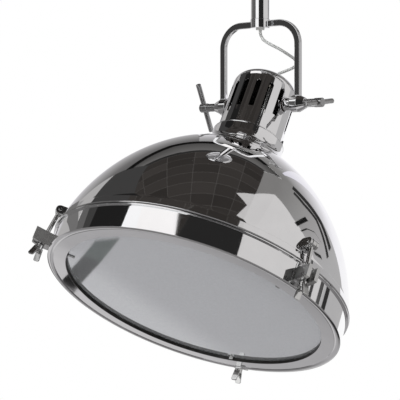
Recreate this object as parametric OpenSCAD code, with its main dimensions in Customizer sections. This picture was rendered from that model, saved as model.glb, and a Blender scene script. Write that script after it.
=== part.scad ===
// Pendant spotlight: a spun dome in a swivelling yoke, hung on a stem from a ceiling plate.
// The origin is the middle of the ceiling plate's top face. The dome faces -Y and down.

/* [Ceiling fitting] */
// Diameter of the plate that is screwed to the ceiling
plate_d = 100; // [80:1:110]
// Thickness of the ceiling plate
plate_t = 4; // [3:0.5:6]
// Diameter of the circle of ceiling screws
screw_circle_d = 76; // [60:1:84]
// Diameter of each ceiling screw hole
screw_hole_d = 5.5; // [4:0.5:7]
// Number of ceiling screw holes
screw_count = 3; // [3:1:6]
// Length of the plate's spigot inside the stem
plate_spigot_l = 22; // [16:1:30]
// Diameter of the canopy that covers the plate
canopy_d = 120; // [116:1:160]
// Height of the canopy
canopy_h = 32; // [26:1:60]
// Wall of the canopy
canopy_wall = 1.5; // [1:0.1:2.5]
// Diameter of the ring that holds the canopy up
canopy_ring_d = 40; // [36:1:50]
// Height of the ring that holds the canopy up
canopy_ring_h = 16; // [12:1:24]

/* [Stem] */
// Outside diameter of the stem
stem_d = 28; // [24:0.5:34]
// Wall of the stem
stem_wall = 1.5; // [1:0.1:3]
// Stem that shows between the canopy ring and the yoke hub
stem_free = 130; // [80:5:800]

/* [Yoke] */
// Diameter of the hub at the foot of the stem
hub_d = 29.6; // [29:0.1:40]
// Height of the hub
hub_h = 13.7; // [12:0.1:20]
// Length of the hub's spigot inside the stem
hub_spigot_l = 16; // [12:1:30]
// Bar size across, in the plane of the yoke
bar_w = 10; // [9:0.5:13]
// Bar size from front to back
bar_depth = 7; // [6:0.5:12]
// From the cap's side to the middle of each leg
leg_gap = 17; // [15.5:0.5:26]
// Radius of the shoulder at the middle of the bar
shoulder_r = 33; // [20:1:40]
// From the underside of the hub down to the pivot
pivot_drop = 116.6; // [105:0.1:160]
// Diameter of the barrel at the foot of each leg
barrel_d = 26; // [22:1:30]
// Diameter of the barrel's outer end, past its taper
barrel_tip_d = 16; // [14:0.5:20]
// Length of the barrel's full diameter
barrel_l = 11.8; // [10:0.1:20]
// Length of the barrel's taper
taper_l = 10.5; // [6:0.5:16]
// Reach of the hub's tenons into the arms, from the axis
tenon_l = 30; // [24:1:32]
// Thickness of the tenons
tenon_t = 3.4; // [2.5:0.1:4]
// Height of the tenons
tenon_h = 8; // [6:0.5:8]

/* [Head] */
// Tilt of the head from straight down, glass towards the front
tilt = 31.8; // [0:0.1:60]
// Outside diameter of the vented cap
cap_d = 99; // [90:0.5:104]
// Wall of the cap
cap_wall = 1.6; // [1:0.1:2.5]
// Straight side of the cap above the pivot
cap_above = 23; // [20:1:40]
// Side of the cap below the pivot
cap_below = 63.5; // [56:0.5:90]
// Height of the cap's crown
crown_h = 23; // [14:1:30]
// Radius of the flat on top of the crown
crown_flat_r = 18; // [17:0.5:24]
// Places for slots round the cap, the two at the pivots left blank
slot_places = 16; // [12:4:20]
// Width of a slot
slot_w = 8; // [4:0.5:10]
// Length of a slot
slot_l = 55.5; // [30:0.5:60]
// Top of the slots above the pivot
slot_top = 14.5; // [8:0.5:18]
// How far the neck stands out past the cap
neck_step = 5; // [1:0.5:8]
// Height of the neck's straight part
neck_h = 11.6; // [8:0.1:30]
// Radius of the fillet between neck and dome
neck_fillet_r = 29.5; // [16:0.5:36]
// Wall of the neck's sleeve inside the cap
sleeve_wall = 2.3; // [1.5:0.1:4]
// Height of the neck's sleeve inside the cap
sleeve_h = 32; // [24:1:34]

/* [Dome] */
// Outside diameter of the dome at its rim
dome_d = 428; // [400:1:460]
// From the pivot down to the top of the rim
rim_drop = 294.5; // [285:0.5:330]
// Bulge of the dome's side beyond a straight cone
dome_bulge = 26.8; // [22:0.1:34]
// Wall of the dome
dome_wall = 1.6; // [1:0.1:3]
// Height of the rim moulding
rim_h = 11.5; // [8:0.5:16]
// How far the rim moulding stands out
rim_out = 4; // [3:0.5:6]
// Thickness of the gasket between rim and bezel
gasket_t = 0.8; // [0.5:0.1:2]

/* [Bezel] */
// Height of the bezel band
band_h = 35.7; // [30:0.1:46]
// Wall of the bezel band
band_wall = 2.5; // [1.5:0.1:3.5]
// Width of the low bead round the edge of the lip
bead_w = 8; // [5:0.5:10]
// Radius of the bead's crown
bead_r = 10; // [8:0.5:16]
// Width of the lip from the band inwards, bead included
lip_w = 27; // [22:0.5:32]
// Thickness of the lip and of the wall round the glass
lip_t = 2; // [1.5:0.1:3]
// Depth of the glass behind the lip
glass_depth = 6.5; // [5.5:0.5:14]
// Thickness of the glass
glass_t = 4; // [3:0.5:6]
// How far the glass reaches past the wall that it rests on
glass_cover = 13; // [8:0.5:15]
// Thickness of the gasket under the glass
seat_t = 1; // [0.5:0.1:2]

/* [Clamps] */
// Angle of the first clamp round the head
clamp_start = 221.7; // [180:0.1:260]
// Height of the hinge pins above the rim
pin_rise = 16.2; // [14:0.1:26]
// Distance of the hinge pins from the dome
pin_out = 9.7; // [9.5:0.1:14]
// Diameter of the hinge pins
pin_d = 5; // [4:0.1:6]
// Diameter of the bolt's eye
eye_d = 13.5; // [11:0.5:16]
// Width of the bolt's eye
eye_w = 6.6; // [5:0.1:9]
// Diameter of the bolt's shank
bolt_d = 6.4; // [5:0.1:8]
// Lean of the bolts away from the head's axis
bolt_lean = 7.5; // [5:0.1:10]
// Height of the lug that takes the bolt
lug_h = 19.5; // [14:0.5:22]
// How far the lug stands out from the band
lug_out = 26.5; // [22:0.5:32]
// Width of the lug
lug_w = 20; // [16:0.5:28]
// Width of the lug's slot
lug_slot_w = 8; // [7.5:0.1:10]
// Bottom of the lug above the lip, at the bolt
lug_rise = 6.2; // [5:0.1:10]
// Clearance between the wing nut and the lug
nut_gap = 0.6; // [0.3:0.1:2]
// Diameter of the wing nut's hub
nut_d = 12; // [10:0.5:14]
// Height of the wing nut's hub
nut_h = 8; // [6:0.5:12]
// Length of a wing
wing_l = 18; // [14:0.5:24]
// Width of a wing
wing_w = 9; // [7:0.5:11]
// Thickness of a wing
wing_t = 2.6; // [2:0.1:4]
// Splay of the wings from the bolt
wing_splay = 18; // [10:1:30]
// Turn of the left wing nut on its bolt
left_nut_turn = -30; // [-90:1:90]
// Turn of the right wing nut on its bolt
right_nut_turn = 80; // [-90:1:90]
// Turn of the rear wing nut on its bolt
rear_nut_turn = 90; // [-90:1:90]

/* [Handles] */
// Diameter of the clamp screw
screw_d = 8; // [6:0.5:10]
// Diameter of the shaft behind the knob
knob_neck_d = 12.4; // [11:0.1:13]
// Length of the shaft behind the knob
knob_neck_l = 15.4; // [10:0.1:24]
// Diameter of the knob
knob_d = 14; // [13:0.5:18]
// Length of the knob
knob_l = 13.6; // [12:0.1:18]
// Diameter of the cross bar
cross_d = 8; // [6:0.5:9]
// Length of the cross bar
cross_l = 80; // [60:1:100]
// Turn of the left cross bar from upright
left_turn = 27; // [-90:1:90]
// Turn of the right cross bar from upright
right_turn = -83; // [-90:1:90]
// Diameter of the boss on the cap at each pivot
boss_d = 20; // [18:0.5:24]

/* [Cable and lamp] */
// Diameter of the cable
cable_d = 4.6; // [4:0.1:5.5]
// Distance of the gland behind the middle of the cap
gland_back = 10; // [8:0.5:10]
// Diameter of the gland above the cap
gland_d = 14; // [12:0.5:16]
// Height of the gland above the cap
gland_h = 6; // [5:0.5:10]
// Diameter of the lamp holder
holder_d = 40; // [36:1:46]
// Length of the lamp holder below its plate
holder_l = 48; // [40:1:56]
// Diameter of the bulb
bulb_d = 75; // [60:1:95]

/* [Fits] */
// Gap where pieces of one body meet on a curve
fit = 0.05; // [0.02:0.01:0.1]
// Radial gap of a turning fit
run = 0.08; // [0.04:0.01:0.1]
// Gap between pieces that turn past each other
clear = 0.3; // [0.2:0.05:0.5]

/* [Hidden] */
$fn = 72;

profile_steps = 20;
fillet_steps = 8;
// How far a cut runs past a face, and the length of one through a thin wall
over = 1;
cut_l = 24;

// Heights from the ceiling downwards
ring_top = -canopy_h;
hub_top = ring_top - canopy_ring_h - stem_free;
hub_bottom = hub_top - hub_h;
pivot_z = hub_bottom - pivot_drop;
stem_bore_r = stem_d / 2 - stem_wall;
wire_bore_r = 5;
canopy_skirt = 10;
grub_sink = 0.5;
small_screw_r = 2;
small_head = [3.4, 1.8];
tip_out = 1;
bush_flange = [6.5, 2];
bush_l = 10;

// Yoke, from the pivot
cap_r = cap_d / 2;
leg_x = cap_r + leg_gap;
bar_lift = 1;
bar_z = pivot_drop + bar_lift + bar_w / 2;
barrel_step = 4.2;
barrel_in = leg_x - bar_w / 2 - barrel_step;
barrel_mid = barrel_in + barrel_l;
barrel_out = barrel_mid + taper_l;
arm_screw_x = 24;
arm_screw_r = 1.1;
arm_head = [2.1, 1];
arm_screw_step = 4.6;
arm_hole_past = 0.8;

// Head, with heights from the pivot along the head's own axis
cap_in_r = cap_r - cap_wall;
cap_top = cap_above + crown_h;
neck_r = cap_r + neck_step;
sleeve_r = cap_in_r - fit;
sleeve_in_r = sleeve_r - sleeve_wall;
cap_screw_rise = 10;
cap_screw_z = -cap_below + cap_screw_rise;
cap_screw_turns = [30, 90, 150];
blank_every = slot_places / 2;

// Dome arc: from the foot of the neck's fillet to the rim, drawn with its bulge
rim_r = dome_d / 2;
rim_top = [rim_r, -rim_drop];
fillet_end = 241.7;
fillet_c = [neck_r + neck_fillet_r, -cap_below - neck_h];
neck_foot = fillet_c + neck_fillet_r * [cos(fillet_end), sin(fillet_end)];
dome_chord = rim_top - neck_foot;
dome_r = (norm(dome_chord) * norm(dome_chord) / 4 + dome_bulge * dome_bulge) / (2 * dome_bulge);
dome_normal = [-dome_chord[1], dome_chord[0]] / norm(dome_chord);
dome_c = (rim_top + neck_foot) / 2 + dome_normal * (dome_bulge - dome_r);
foot_a = atan2(neck_foot[1] - dome_c[1], neck_foot[0] - dome_c[0]);
rim_a = atan2(rim_top[1] - dome_c[1], rim_top[0] - dome_c[0]);
flange_l = 9;
flange_t = 1.5;
neck_wall = dome_wall + fit + flange_t;
neck_inside_a = fillet_end - 4;

// Bezel, from the lip upwards
rim_bottom = -rim_drop - rim_h;
band_top = rim_bottom - gasket_t;
lip_z = band_top - band_h;
band_out = 0.5;
band_r = rim_r + band_out;
lip_in_r = band_r - lip_w;
glass_z = lip_z + glass_depth;
glass_r = lip_in_r + glass_cover;
rim_step = 1;
rim_foot = 1.2;
rim_lip_t = 1.8;
rim_lip_back = 0.5;
rim_lip_r = rim_r + rim_out - rim_lip_back;
bead_half_a = asin(bead_w / 2 / bead_r);
bead_crown = bead_r * (1 - cos(bead_half_a));
bead_step = 0.4;
lip_rise = bead_crown + bead_step;
gasket_in = 8;
gasket_back = 1;
seat_back = 0.4;
clip_w = 6;
clip_l = 11;
clip_t = 1;
clip_foot = [1.5, 4];

// Clamps, a third of a turn apart
clamp_step_a = 360 / 3;
left_clamp_a = clamp_start;
right_clamp_a = clamp_start + clamp_step_a;
rear_clamp_a = clamp_start + 2 * clamp_step_a;
clamp_angles = [left_clamp_a, right_clamp_a, rear_clamp_a];
pin_z = -rim_drop + pin_rise;
pin_r = dome_c[0] + sqrt(dome_r * dome_r - pow(pin_z - dome_c[1], 2)) + pin_out;
ear_t = 4;
ear_r = 6.4;
ear_gap = eye_w / 2 + clear;
pin_proud = 1;
pin_l = 2 * (ear_gap + ear_t + pin_proud);
clevis_root = 4;
lug_end = (pin_z - lip_z - lug_rise) / cos(bolt_lean);
nut_top = lug_end + nut_gap;
bolt_tail = 4;
bolt_l = nut_top + nut_h + bolt_tail;
wing_root = 1.5;
wing_corner = 2.5;

// Pivots and handles, along X from the middle
boss_tail = 6;
boss_in = cap_in_r - boss_tail;
washer_t = 1.2;
washer_d = 22;
boss_out = barrel_in - washer_t;
boss_flange = [13, 4];
flange_in = boss_in - boss_flange[1] / 2;
screw_in = boss_in + tip_out;
screw_hole_r = screw_d / 2 + run;
knob_in = barrel_out + clear + knob_neck_l;
cross_x = knob_in + knob_l / 2;

// Lamp inside, from the pivot along the head's axis
ledge_drop = 8;
ledge_z = -cap_below - ledge_drop;
ledge_t = 3;
ledge_w = 4;
holder_t = 2;
holder_flange = [50, 3];
holder_top = ledge_z + holder_t + holder_flange[1];
holder_end = ledge_z - holder_l;
block = [30, 24, 14];
block_shift = 4;
bulb_cap_d = 26;
bulb_cap_l = 27;
socket_gap = 0.3;
bulb_sink = 1;
bulb_cap_z = holder_end + bulb_sink;
bulb_neck = 2;
bulb_z = bulb_cap_z - bulb_d - bulb_neck;
bulb_flank = 0.45;

// Cable route from the hub to the gland, in steps from the pivot, glass side towards -Y
cable_exit = [0, 0, pivot_drop - bush_flange[1]];
gland_tail = 6;
gland_nut_size = [7.8, 4];
cable_straight = 7;
gland_top = turned([0, gland_back, cap_top + gland_h]);
gland_run = turned([0, gland_back, cap_top + gland_h + cable_straight]);
cable_points = [
    cable_exit, [0.8, 0, 107], [5, 0, 99.8], [13, 0.5, 94], [23, 2, 88.5], [33, 6, 82.5], [40.5, 14, 76],
    [43.5, 28, 70], [38.5, 43, 64.5], [26.5, 51.5, 59.5], [14, 51.5, 55.5], [4, 46, 51], gland_run, gland_top
];
cable_steps = 3;
cable_route = smooth_route(cable_points, cable_steps);
cable_sides = 10;

function turned(p) = [
    p[0],
    p[1] * cos(tilt) + p[2] * sin(tilt),
    -p[1] * sin(tilt) + p[2] * cos(tilt)
];
function arc(c, r, from, to, steps) =
    [for (i = [0:steps]) let (a = from + (to - from) * i / steps) c + r * [cos(a), sin(a)]];
function oval(c, rx, rz, steps) =
    [for (i = [0:steps]) let (a = 90 * i / steps) c + [rx * cos(a), rz * sin(a)]];
function reverse(v) = [for (i = [len(v) - 1:-1:0]) v[i]];
function unit(v) = v / norm(v);
// A smooth curve through points, with its ends run straight on
function blend_at(a, b, c, d, t) =
    (2 * b + (c - a) * t + (2 * a - 5 * b + 4 * c - d) * t * t + (3 * b - a - 3 * c + d) * t * t * t) / 2;
function smooth_route(points, steps) = let (
    last = len(points) - 1,
    line = concat([2 * points[0] - points[1]], points, [2 * points[last] - points[last - 1]])
) concat(
    [for (i = [0:last - 1], k = [0:steps - 1])
        blend_at(line[i], line[i + 1], line[i + 2], line[i + 3], k / steps)],
    [points[last]]
);

// Frames: the head's own axis, a clamp with +X outwards, a bolt with -Z along its shank
module at_pivot() { translate([0, 0, pivot_z]) children(); }
module at_head() { at_pivot() rotate([-tilt, 0, 0]) children(); }
module at_clamp(a) { at_head() rotate([0, 0, a]) children(); }
module at_bolt(a) { at_clamp(a) translate([pin_r, 0, pin_z]) rotate([0, -bolt_lean, 0]) children(); }
// Along X, outwards to one side of the pivot
module along_x(side, from, length, r1, r2) {
    translate([side * from, 0, 0]) rotate([0, side * 90, 0]) cylinder(h = length, r1 = r1, r2 = r2);
}
// Across the head, along Y
module along_y(y, length, r) { translate([0, y, 0]) rotate([-90, 0, 0]) cylinder(h = length, r = r); }
module turn() { rotate_extrude($fn = 144) children(); }
module ring(inner, outer, bottom, height) {
    translate([0, 0, bottom]) difference() {
        cylinder(h = height, r = outer, $fn = 144);
        translate([0, 0, -over]) cylinder(h = height + 2 * over, r = inner, $fn = 144);
    }
}
// A screw along +X from the axis out to a flat-backed head
module radial_screw(tip, seat, shank_r, head) {
    rotate([0, 90, 0]) {
        translate([0, 0, tip]) cylinder(h = seat - tip + head[1], r = shank_r);
        translate([0, 0, seat]) cylinder(h = head[1], r = head[0]);
    }
}

// Ceiling fitting and stem
module stem_screw_holes(r) {
    for (z = [-plate_t - plate_spigot_l / 2, hub_top + hub_spigot_l / 2])
        translate([0, 0, z]) along_y(0, stem_d, r);
}
module ceiling_plate() {
    color("silver") difference() {
        union() {
            translate([0, 0, -plate_t]) cylinder(h = plate_t, r = plate_d / 2);
            translate([0, 0, -plate_t - plate_spigot_l])
                cylinder(h = plate_spigot_l + over, r = stem_bore_r - fit);
        }
        translate([0, 0, -plate_t - plate_spigot_l - over])
            cylinder(h = plate_t + plate_spigot_l + 2 * over, r = wire_bore_r);
        for (i = [0:screw_count - 1]) rotate([0, 0, 360 / screw_count * i + 90])
            translate([screw_circle_d / 2, 0, -plate_t - over])
                cylinder(h = plate_t + 2 * over, d = screw_hole_d);
        stem_screw_holes(small_screw_r);
    }
}
module canopy() {
    shoulder_w = canopy_d / 2 - canopy_ring_d / 2;
    shoulder_h = canopy_h - canopy_skirt;
    corner = [canopy_ring_d / 2, -canopy_skirt];
    mouth = stem_d / 2 + fit;
    outer = [for (p = oval([0, 0], shoulder_w, shoulder_h, profile_steps)) corner + [p[0], -p[1]]];
    inner = [for (p = oval([0, 0], shoulder_w - canopy_wall, shoulder_h - canopy_wall, profile_steps))
        corner + [p[0], -p[1]]];
    color("gainsboro") turn() polygon(concat(
        [[canopy_d / 2, 0]], outer, [[mouth, -canopy_h], [mouth, -canopy_h + canopy_wall]],
        reverse(inner), [[canopy_d / 2 - canopy_wall, 0]]
    ));
}
module canopy_ring() {
    color("gainsboro") difference() {
        ring(stem_d / 2 + fit, canopy_ring_d / 2, ring_top - canopy_ring_h, canopy_ring_h);
        translate([0, 0, ring_top - canopy_ring_h / 2]) along_y(0, canopy_ring_d, small_screw_r);
    }
}
module ring_grub_screw() {
    color("dimgray") translate([0, 0, ring_top - canopy_ring_h / 2])
        along_y(stem_d / 2 + fit, (canopy_ring_d - stem_d) / 2 - grub_sink, small_screw_r - fit);
}
module stem_tube() {
    color("gainsboro") difference() {
        ring(stem_bore_r, stem_d / 2, hub_top, -plate_t - hub_top);
        stem_screw_holes(small_screw_r);
    }
}
module stem_screws() {
    color("silver") for (z = [-plate_t - plate_spigot_l / 2, hub_top + hub_spigot_l / 2])
        translate([0, 0, z]) rotate([0, 0, 90])
            radial_screw(wire_bore_r + tip_out, stem_d / 2, small_screw_r - fit, small_head);
}
module stem_cable() {
    top = -plate_t;
    bottom = pivot_z + cable_exit[2];
    color("gainsboro") translate([0, 0, bottom]) cylinder(h = top - bottom, d = cable_d);
}

// Yoke
module arm_screw_places(side, y) {
    for (step = [-1, 1])
        translate([side * arm_screw_x, y, bar_z + step * arm_screw_step / 2]) children();
}
module tenon_block(side, grow) {
    length = tenon_l + grow;
    translate([side > 0 ? 0 : -length, -tenon_t / 2 - grow, bar_z - tenon_h / 2 - grow])
        cube([length, tenon_t + 2 * grow, tenon_h + 2 * grow]);
}
module arm_screw_holes(side, r) {
    arm_screw_places(side, -side * bar_depth) rotate([-side * 90, 0, 0])
        cylinder(h = bar_depth + arm_hole_past, r = r);
}
module yoke_hub() {
    color("gainsboro") difference() {
        union() {
            translate([0, 0, hub_bottom]) cylinder(h = hub_h, d = hub_d);
            translate([0, 0, hub_top - over]) cylinder(h = hub_spigot_l + over, r = stem_bore_r - fit);
            at_pivot() for (side = [-1, 1]) tenon_block(side, 0);
        }
        translate([0, 0, hub_bottom - over]) cylinder(h = hub_h + hub_spigot_l + 2 * over, r = wire_bore_r);
        translate([0, 0, hub_top + hub_spigot_l / 2]) along_y(0, stem_d, small_screw_r);
        at_pivot() for (side = [-1, 1]) arm_screw_holes(side, arm_screw_r);
    }
}
module yoke_arm(side) {
    straight = leg_x - shoulder_r;
    leg_top = bar_z - shoulder_r;
    color("gainsboro") at_pivot() difference() {
        union() {
            translate([side > 0 ? 0 : -straight, -bar_depth / 2, bar_z - bar_w / 2])
                cube([straight, bar_depth, bar_w]);
            translate([side * straight, 0, leg_top]) rotate([90, 0, 0]) mirror([side > 0 ? 0 : 1, 0, 0])
                rotate_extrude(angle = 90) translate([shoulder_r, 0])
                    square([bar_w, bar_depth], center = true);
            translate([side * leg_x - bar_w / 2, -bar_depth / 2, screw_d])
                cube([bar_w, bar_depth, leg_top - screw_d]);
            along_x(side, barrel_in, barrel_l, barrel_d / 2, barrel_d / 2);
            along_x(side, barrel_mid, taper_l, barrel_d / 2, barrel_tip_d / 2);
        }
        along_x(side, barrel_in - over, barrel_out - barrel_in + 2 * over, screw_hole_r, screw_hole_r);
        translate([0, 0, bar_z - bar_w]) cylinder(h = 2 * bar_w, r = hub_d / 2 + fit);
        tenon_block(side, fit);
        arm_screw_holes(side, arm_screw_r);
    }
}
module yoke_arm_left() { yoke_arm(-1); }
module yoke_arm_right() { yoke_arm(1); }
module arm_screws() {
    color("dimgray") at_pivot() for (side = [-1, 1])
        arm_screw_places(side, -side * bar_depth / 2) rotate([side * 90, 0, 0]) {
            cylinder(h = arm_head[1], r = arm_head[0]);
            translate([0, 0, -bar_depth / 2])
                cylinder(h = bar_depth / 2 + arm_head[1], r = arm_screw_r - fit);
        }
}
module cable_bush() {
    color("dimgray") translate([0, 0, hub_bottom - bush_flange[1]]) difference() {
        union() {
            cylinder(h = bush_flange[1], r = bush_flange[0]);
            cylinder(h = bush_l, r = wire_bore_r - fit);
        }
        translate([0, 0, -over]) cylinder(h = bush_l + 2 * over, r = cable_d / 2 + fit);
    }
}

// Cap and neck
module slots() {
    for (i = [0:slot_places - 1]) if (i % blank_every > 0) rotate([0, 0, 360 / slot_places * i]) {
        translate([cap_r - cut_l / 2, -slot_w / 2, slot_top - slot_l + slot_w / 2])
            cube([cut_l, slot_w, slot_l - slot_w]);
        for (z = [slot_top - slot_w / 2, slot_top - slot_l + slot_w / 2])
            translate([cap_r - cut_l / 2, 0, z]) rotate([0, 90, 0]) cylinder(h = cut_l, r = slot_w / 2);
    }
}
module cap_screw_holes() {
    for (a = cap_screw_turns) rotate([0, 0, a]) translate([cap_r - cut_l / 2, 0, cap_screw_z])
        rotate([0, 90, 0]) cylinder(h = cut_l, r = small_screw_r);
}
module cap() {
    crown_w = cap_r - crown_flat_r;
    crown_c = [crown_flat_r, cap_above];
    color("gainsboro") at_head() difference() {
        turn() polygon(concat(
            [[cap_r, -cap_below]], oval(crown_c, crown_w, crown_h, profile_steps), [[0, cap_top]],
            [[0, cap_top - cap_wall]],
            reverse(oval(crown_c, crown_w - cap_wall, crown_h - cap_wall, profile_steps)),
            [[cap_in_r, -cap_below]]
        ));
        slots();
        for (side = [-1, 1]) along_x(side, cap_r - cut_l / 2, cut_l, boss_d / 2 + fit, boss_d / 2 + fit);
        translate([0, gland_back, cap_top - cut_l / 2]) cylinder(h = cut_l, r = wire_bore_r + fit);
        cap_screw_holes();
    }
}
module cap_screws() {
    color("silver") at_head() for (a = cap_screw_turns) rotate([0, 0, a]) translate([0, 0, cap_screw_z])
        radial_screw(sleeve_in_r - tip_out, cap_r, small_screw_r - fit, small_head);
}
module neck() {
    under_r = dome_r - dome_wall - fit;
    flange_a = flange_l / under_r * 180 / PI;
    color("gainsboro") at_head() difference() {
        turn() polygon(concat(
            [[sleeve_r, -cap_below + sleeve_h], [sleeve_r, -cap_below], [neck_r, -cap_below]],
            arc(fillet_c, neck_fillet_r, 180, fillet_end, fillet_steps),
            arc(dome_c, under_r, foot_a, foot_a - flange_a, fillet_steps),
            arc(dome_c, under_r - flange_t, foot_a - flange_a, foot_a, fillet_steps),
            arc(fillet_c, neck_fillet_r + neck_wall, neck_inside_a, 180, fillet_steps),
            [[sleeve_in_r - ledge_w, ledge_z - ledge_t], [sleeve_in_r - ledge_w, ledge_z],
            [sleeve_in_r, ledge_z], [sleeve_in_r, -cap_below + sleeve_h]]
        ));
        cap_screw_holes();
    }
}

// Dome and rim
module dome_outline(grow) {
    polygon(concat(
        arc(dome_c, dome_r + grow, foot_a, rim_a, profile_steps),
        [[rim_r + grow, rim_bottom], [0, rim_bottom], [0, neck_foot[1] + grow]]
    ));
}
module dome() {
    start = foot_a - fit / dome_r * 180 / PI;
    color("gainsboro") at_head() turn() polygon(concat(
        arc(dome_c, dome_r, start, rim_a, profile_steps),
        [[rim_r, rim_bottom], [rim_r - dome_wall, rim_bottom]],
        arc(dome_c, dome_r - dome_wall, rim_a, start, profile_steps)
    ));
}
module rim_moulding() {
    color("gainsboro") at_head() turn() polygon([
        [rim_r + fit, rim_bottom], [rim_r + fit, -rim_drop], [rim_r + rim_step, -rim_drop],
        [rim_r + rim_out, rim_bottom + rim_foot], [rim_r + rim_out - rim_foot, rim_bottom]
    ]);
}
module rim_gasket() {
    color("black") at_head() ring(rim_r - gasket_in, rim_r + rim_out - gasket_back, band_top, gasket_t);
}

// Bezel and glass
module bezel() {
    bead_c = [band_r - bead_w / 2, lip_z + bead_r];
    inside_z = lip_z + lip_rise + lip_t;
    color("gainsboro") at_head() turn() polygon(concat(
        [[band_r - band_wall, band_top], [rim_lip_r, band_top],
        [rim_lip_r, band_top - rim_lip_t], [band_r, band_top - rim_lip_t]],
        arc(bead_c, bead_r, -90 + bead_half_a, -90 - bead_half_a, fillet_steps),
        [[band_r - bead_w, lip_z + lip_rise], [lip_in_r, lip_z + lip_rise], [lip_in_r, glass_z - seat_t],
        [lip_in_r + lip_t, glass_z - seat_t], [lip_in_r + lip_t, inside_z], [band_r - band_wall, inside_z]]
    ));
}
module glass() {
    color("gainsboro", 0.6) at_head() translate([0, 0, glass_z])
        cylinder(h = glass_t, r = glass_r, $fn = 144);
}
module glass_gasket() {
    color("black") at_head() ring(lip_in_r + seat_back, glass_r, glass_z - seat_t, seat_t);
}
module glass_clips() {
    color("silver") for (a = clamp_angles) at_clamp(a)
        intersection() {
            translate([0, 0, glass_z - glass_depth]) cylinder(h = glass_depth, r = lip_in_r - fit, $fn = 144);
            union() {
                translate([lip_in_r - clip_l, -clip_w / 2, glass_z - clip_t]) cube([clip_l, clip_w, clip_t]);
                translate([lip_in_r - clip_foot[0], -clip_w / 2, glass_z - clip_foot[1]])
                    cube([clip_foot[0], clip_w, clip_foot[1]]);
            }
        }
}

// Pivots
module pivot_boss(side) {
    color("gainsboro") at_head() difference() {
        union() {
            along_x(side, boss_in, boss_out - boss_in, boss_d / 2, boss_d / 2);
            along_x(side, flange_in, boss_flange[1], boss_flange[0], boss_flange[0]);
        }
        along_x(side, flange_in - over, boss_out - flange_in + 2 * over, screw_hole_r, screw_hole_r);
    }
}
module pivot_boss_left() { pivot_boss(-1); }
module pivot_boss_right() { pivot_boss(1); }
module pivot_washers() {
    thick = washer_t - run;
    color("dimgray") at_head() for (side = [-1, 1]) difference() {
        along_x(side, boss_out, thick, washer_d / 2, washer_d / 2);
        along_x(side, boss_out - over, thick + 2 * over, screw_hole_r, screw_hole_r);
    }
}
module clamp_screw(side) {
    reach = knob_in + knob_l;
    color("silver") at_pivot() difference() {
        union() {
            along_x(side, screw_in, reach - screw_in, screw_d / 2, screw_d / 2);
            along_x(side, barrel_out + clear, knob_neck_l, knob_neck_d / 2, knob_neck_d / 2);
            along_x(side, knob_in, knob_l, knob_d / 2, knob_d / 2);
        }
        clamp_bar_shape(side, fit);
    }
}
module clamp_bar_shape(side, grow) {
    translate([side * cross_x, 0, 0]) rotate([side > 0 ? right_turn : left_turn, 0, 0])
        cylinder(h = cross_l, r = cross_d / 2 + grow, center = true);
}
module clamp_screw_left() { clamp_screw(-1); }
module clamp_screw_right() { clamp_screw(1); }
module clamp_bar_left() { color("silver") at_pivot() clamp_bar_shape(-1, 0); }
module clamp_bar_right() { color("silver") at_pivot() clamp_bar_shape(1, 0); }

// Cable
module cable_gland() {
    color("silver") at_head() translate([0, gland_back, cap_top]) difference() {
        union() {
            cylinder(h = gland_h, d = gland_d);
            translate([0, 0, -cap_wall - gland_tail])
                cylinder(h = cap_wall + gland_tail + over, r = wire_bore_r);
        }
        translate([0, 0, -cap_wall - gland_tail - over])
            cylinder(h = gland_h + cap_wall + gland_tail + 2 * over, r = cable_d / 2 + fit);
    }
}
module gland_nut() {
    color("silver") at_head() translate([0, gland_back, 0])
        ring(
            wire_bore_r + fit, gland_nut_size[0], cap_top - cap_wall - gland_nut_size[1], gland_nut_size[1]
        );
}
module supply_cable() {
    last = len(cable_route) - 1;
    rings = [for (i = [0:last])
        let (
            ahead = unit(cable_route[min(i + 1, last)] - cable_route[max(i - 1, 0)]),
            flat = unit(cross(ahead, [1, 0, 0])),
            other = cross(flat, ahead)
        )
        for (k = [0:cable_sides - 1]) let (a = 360 * k / cable_sides)
            cable_route[i] + cable_d / 2 * (cos(a) * flat + sin(a) * other)];
    sides = [for (i = [0:last - 1], k = [0:cable_sides - 1])
        let (n = (k + 1) % cable_sides, a = i * cable_sides, b = a + cable_sides)
            each [[a + k, a + n, b + n], [a + k, b + n, b + k]]];
    first_end = [for (k = [1:cable_sides - 2]) [0, k + 1, k]];
    end = last * cable_sides;
    last_end = [for (k = [1:cable_sides - 2]) [end, end + k, end + k + 1]];
    color("gainsboro") at_pivot() polyhedron(rings, concat(sides, first_end, last_end));
}
module inner_lead() {
    bottom = holder_top + block[2];
    color("gainsboro") at_head() translate([0, gland_back, bottom])
        cylinder(h = cap_top + gland_h - clear - bottom, d = cable_d);
}

// Lamp inside
module terminal_block() {
    color("white") at_head()
        translate([-block[0] / 2, gland_back - block_shift - block[1] / 2, holder_top]) cube(block);
}
module holder_plate() {
    color("silver") at_head() ring(holder_d / 2 + fit, sleeve_in_r - fit, ledge_z, holder_t);
}
module lamp_holder() {
    color("white") at_head() difference() {
        union() {
            translate([0, 0, holder_end]) cylinder(h = holder_top - holder_end, d = holder_d);
            translate([0, 0, ledge_z + holder_t]) cylinder(h = holder_flange[1], d = holder_flange[0]);
        }
        translate([0, 0, holder_end - over])
            cylinder(h = bulb_cap_l + bulb_sink + 2 * over, d = bulb_cap_d + 2 * socket_gap);
    }
}
module bulb_cap() {
    color("gold") at_head() translate([0, 0, bulb_cap_z]) cylinder(h = bulb_cap_l, d = bulb_cap_d);
}
module bulb_glass() {
    cone_z = bulb_z + bulb_flank * bulb_d / 2;
    cone_r = bulb_d / 2 * sqrt(1 - bulb_flank * bulb_flank);
    cone_tip_r = bulb_cap_d / 2 - socket_gap;
    color("white") at_head() {
        translate([0, 0, bulb_z]) sphere(d = bulb_d);
        translate([0, 0, cone_z]) cylinder(h = bulb_cap_z - cone_z, r1 = cone_r, r2 = cone_tip_r);
    }
}

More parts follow.
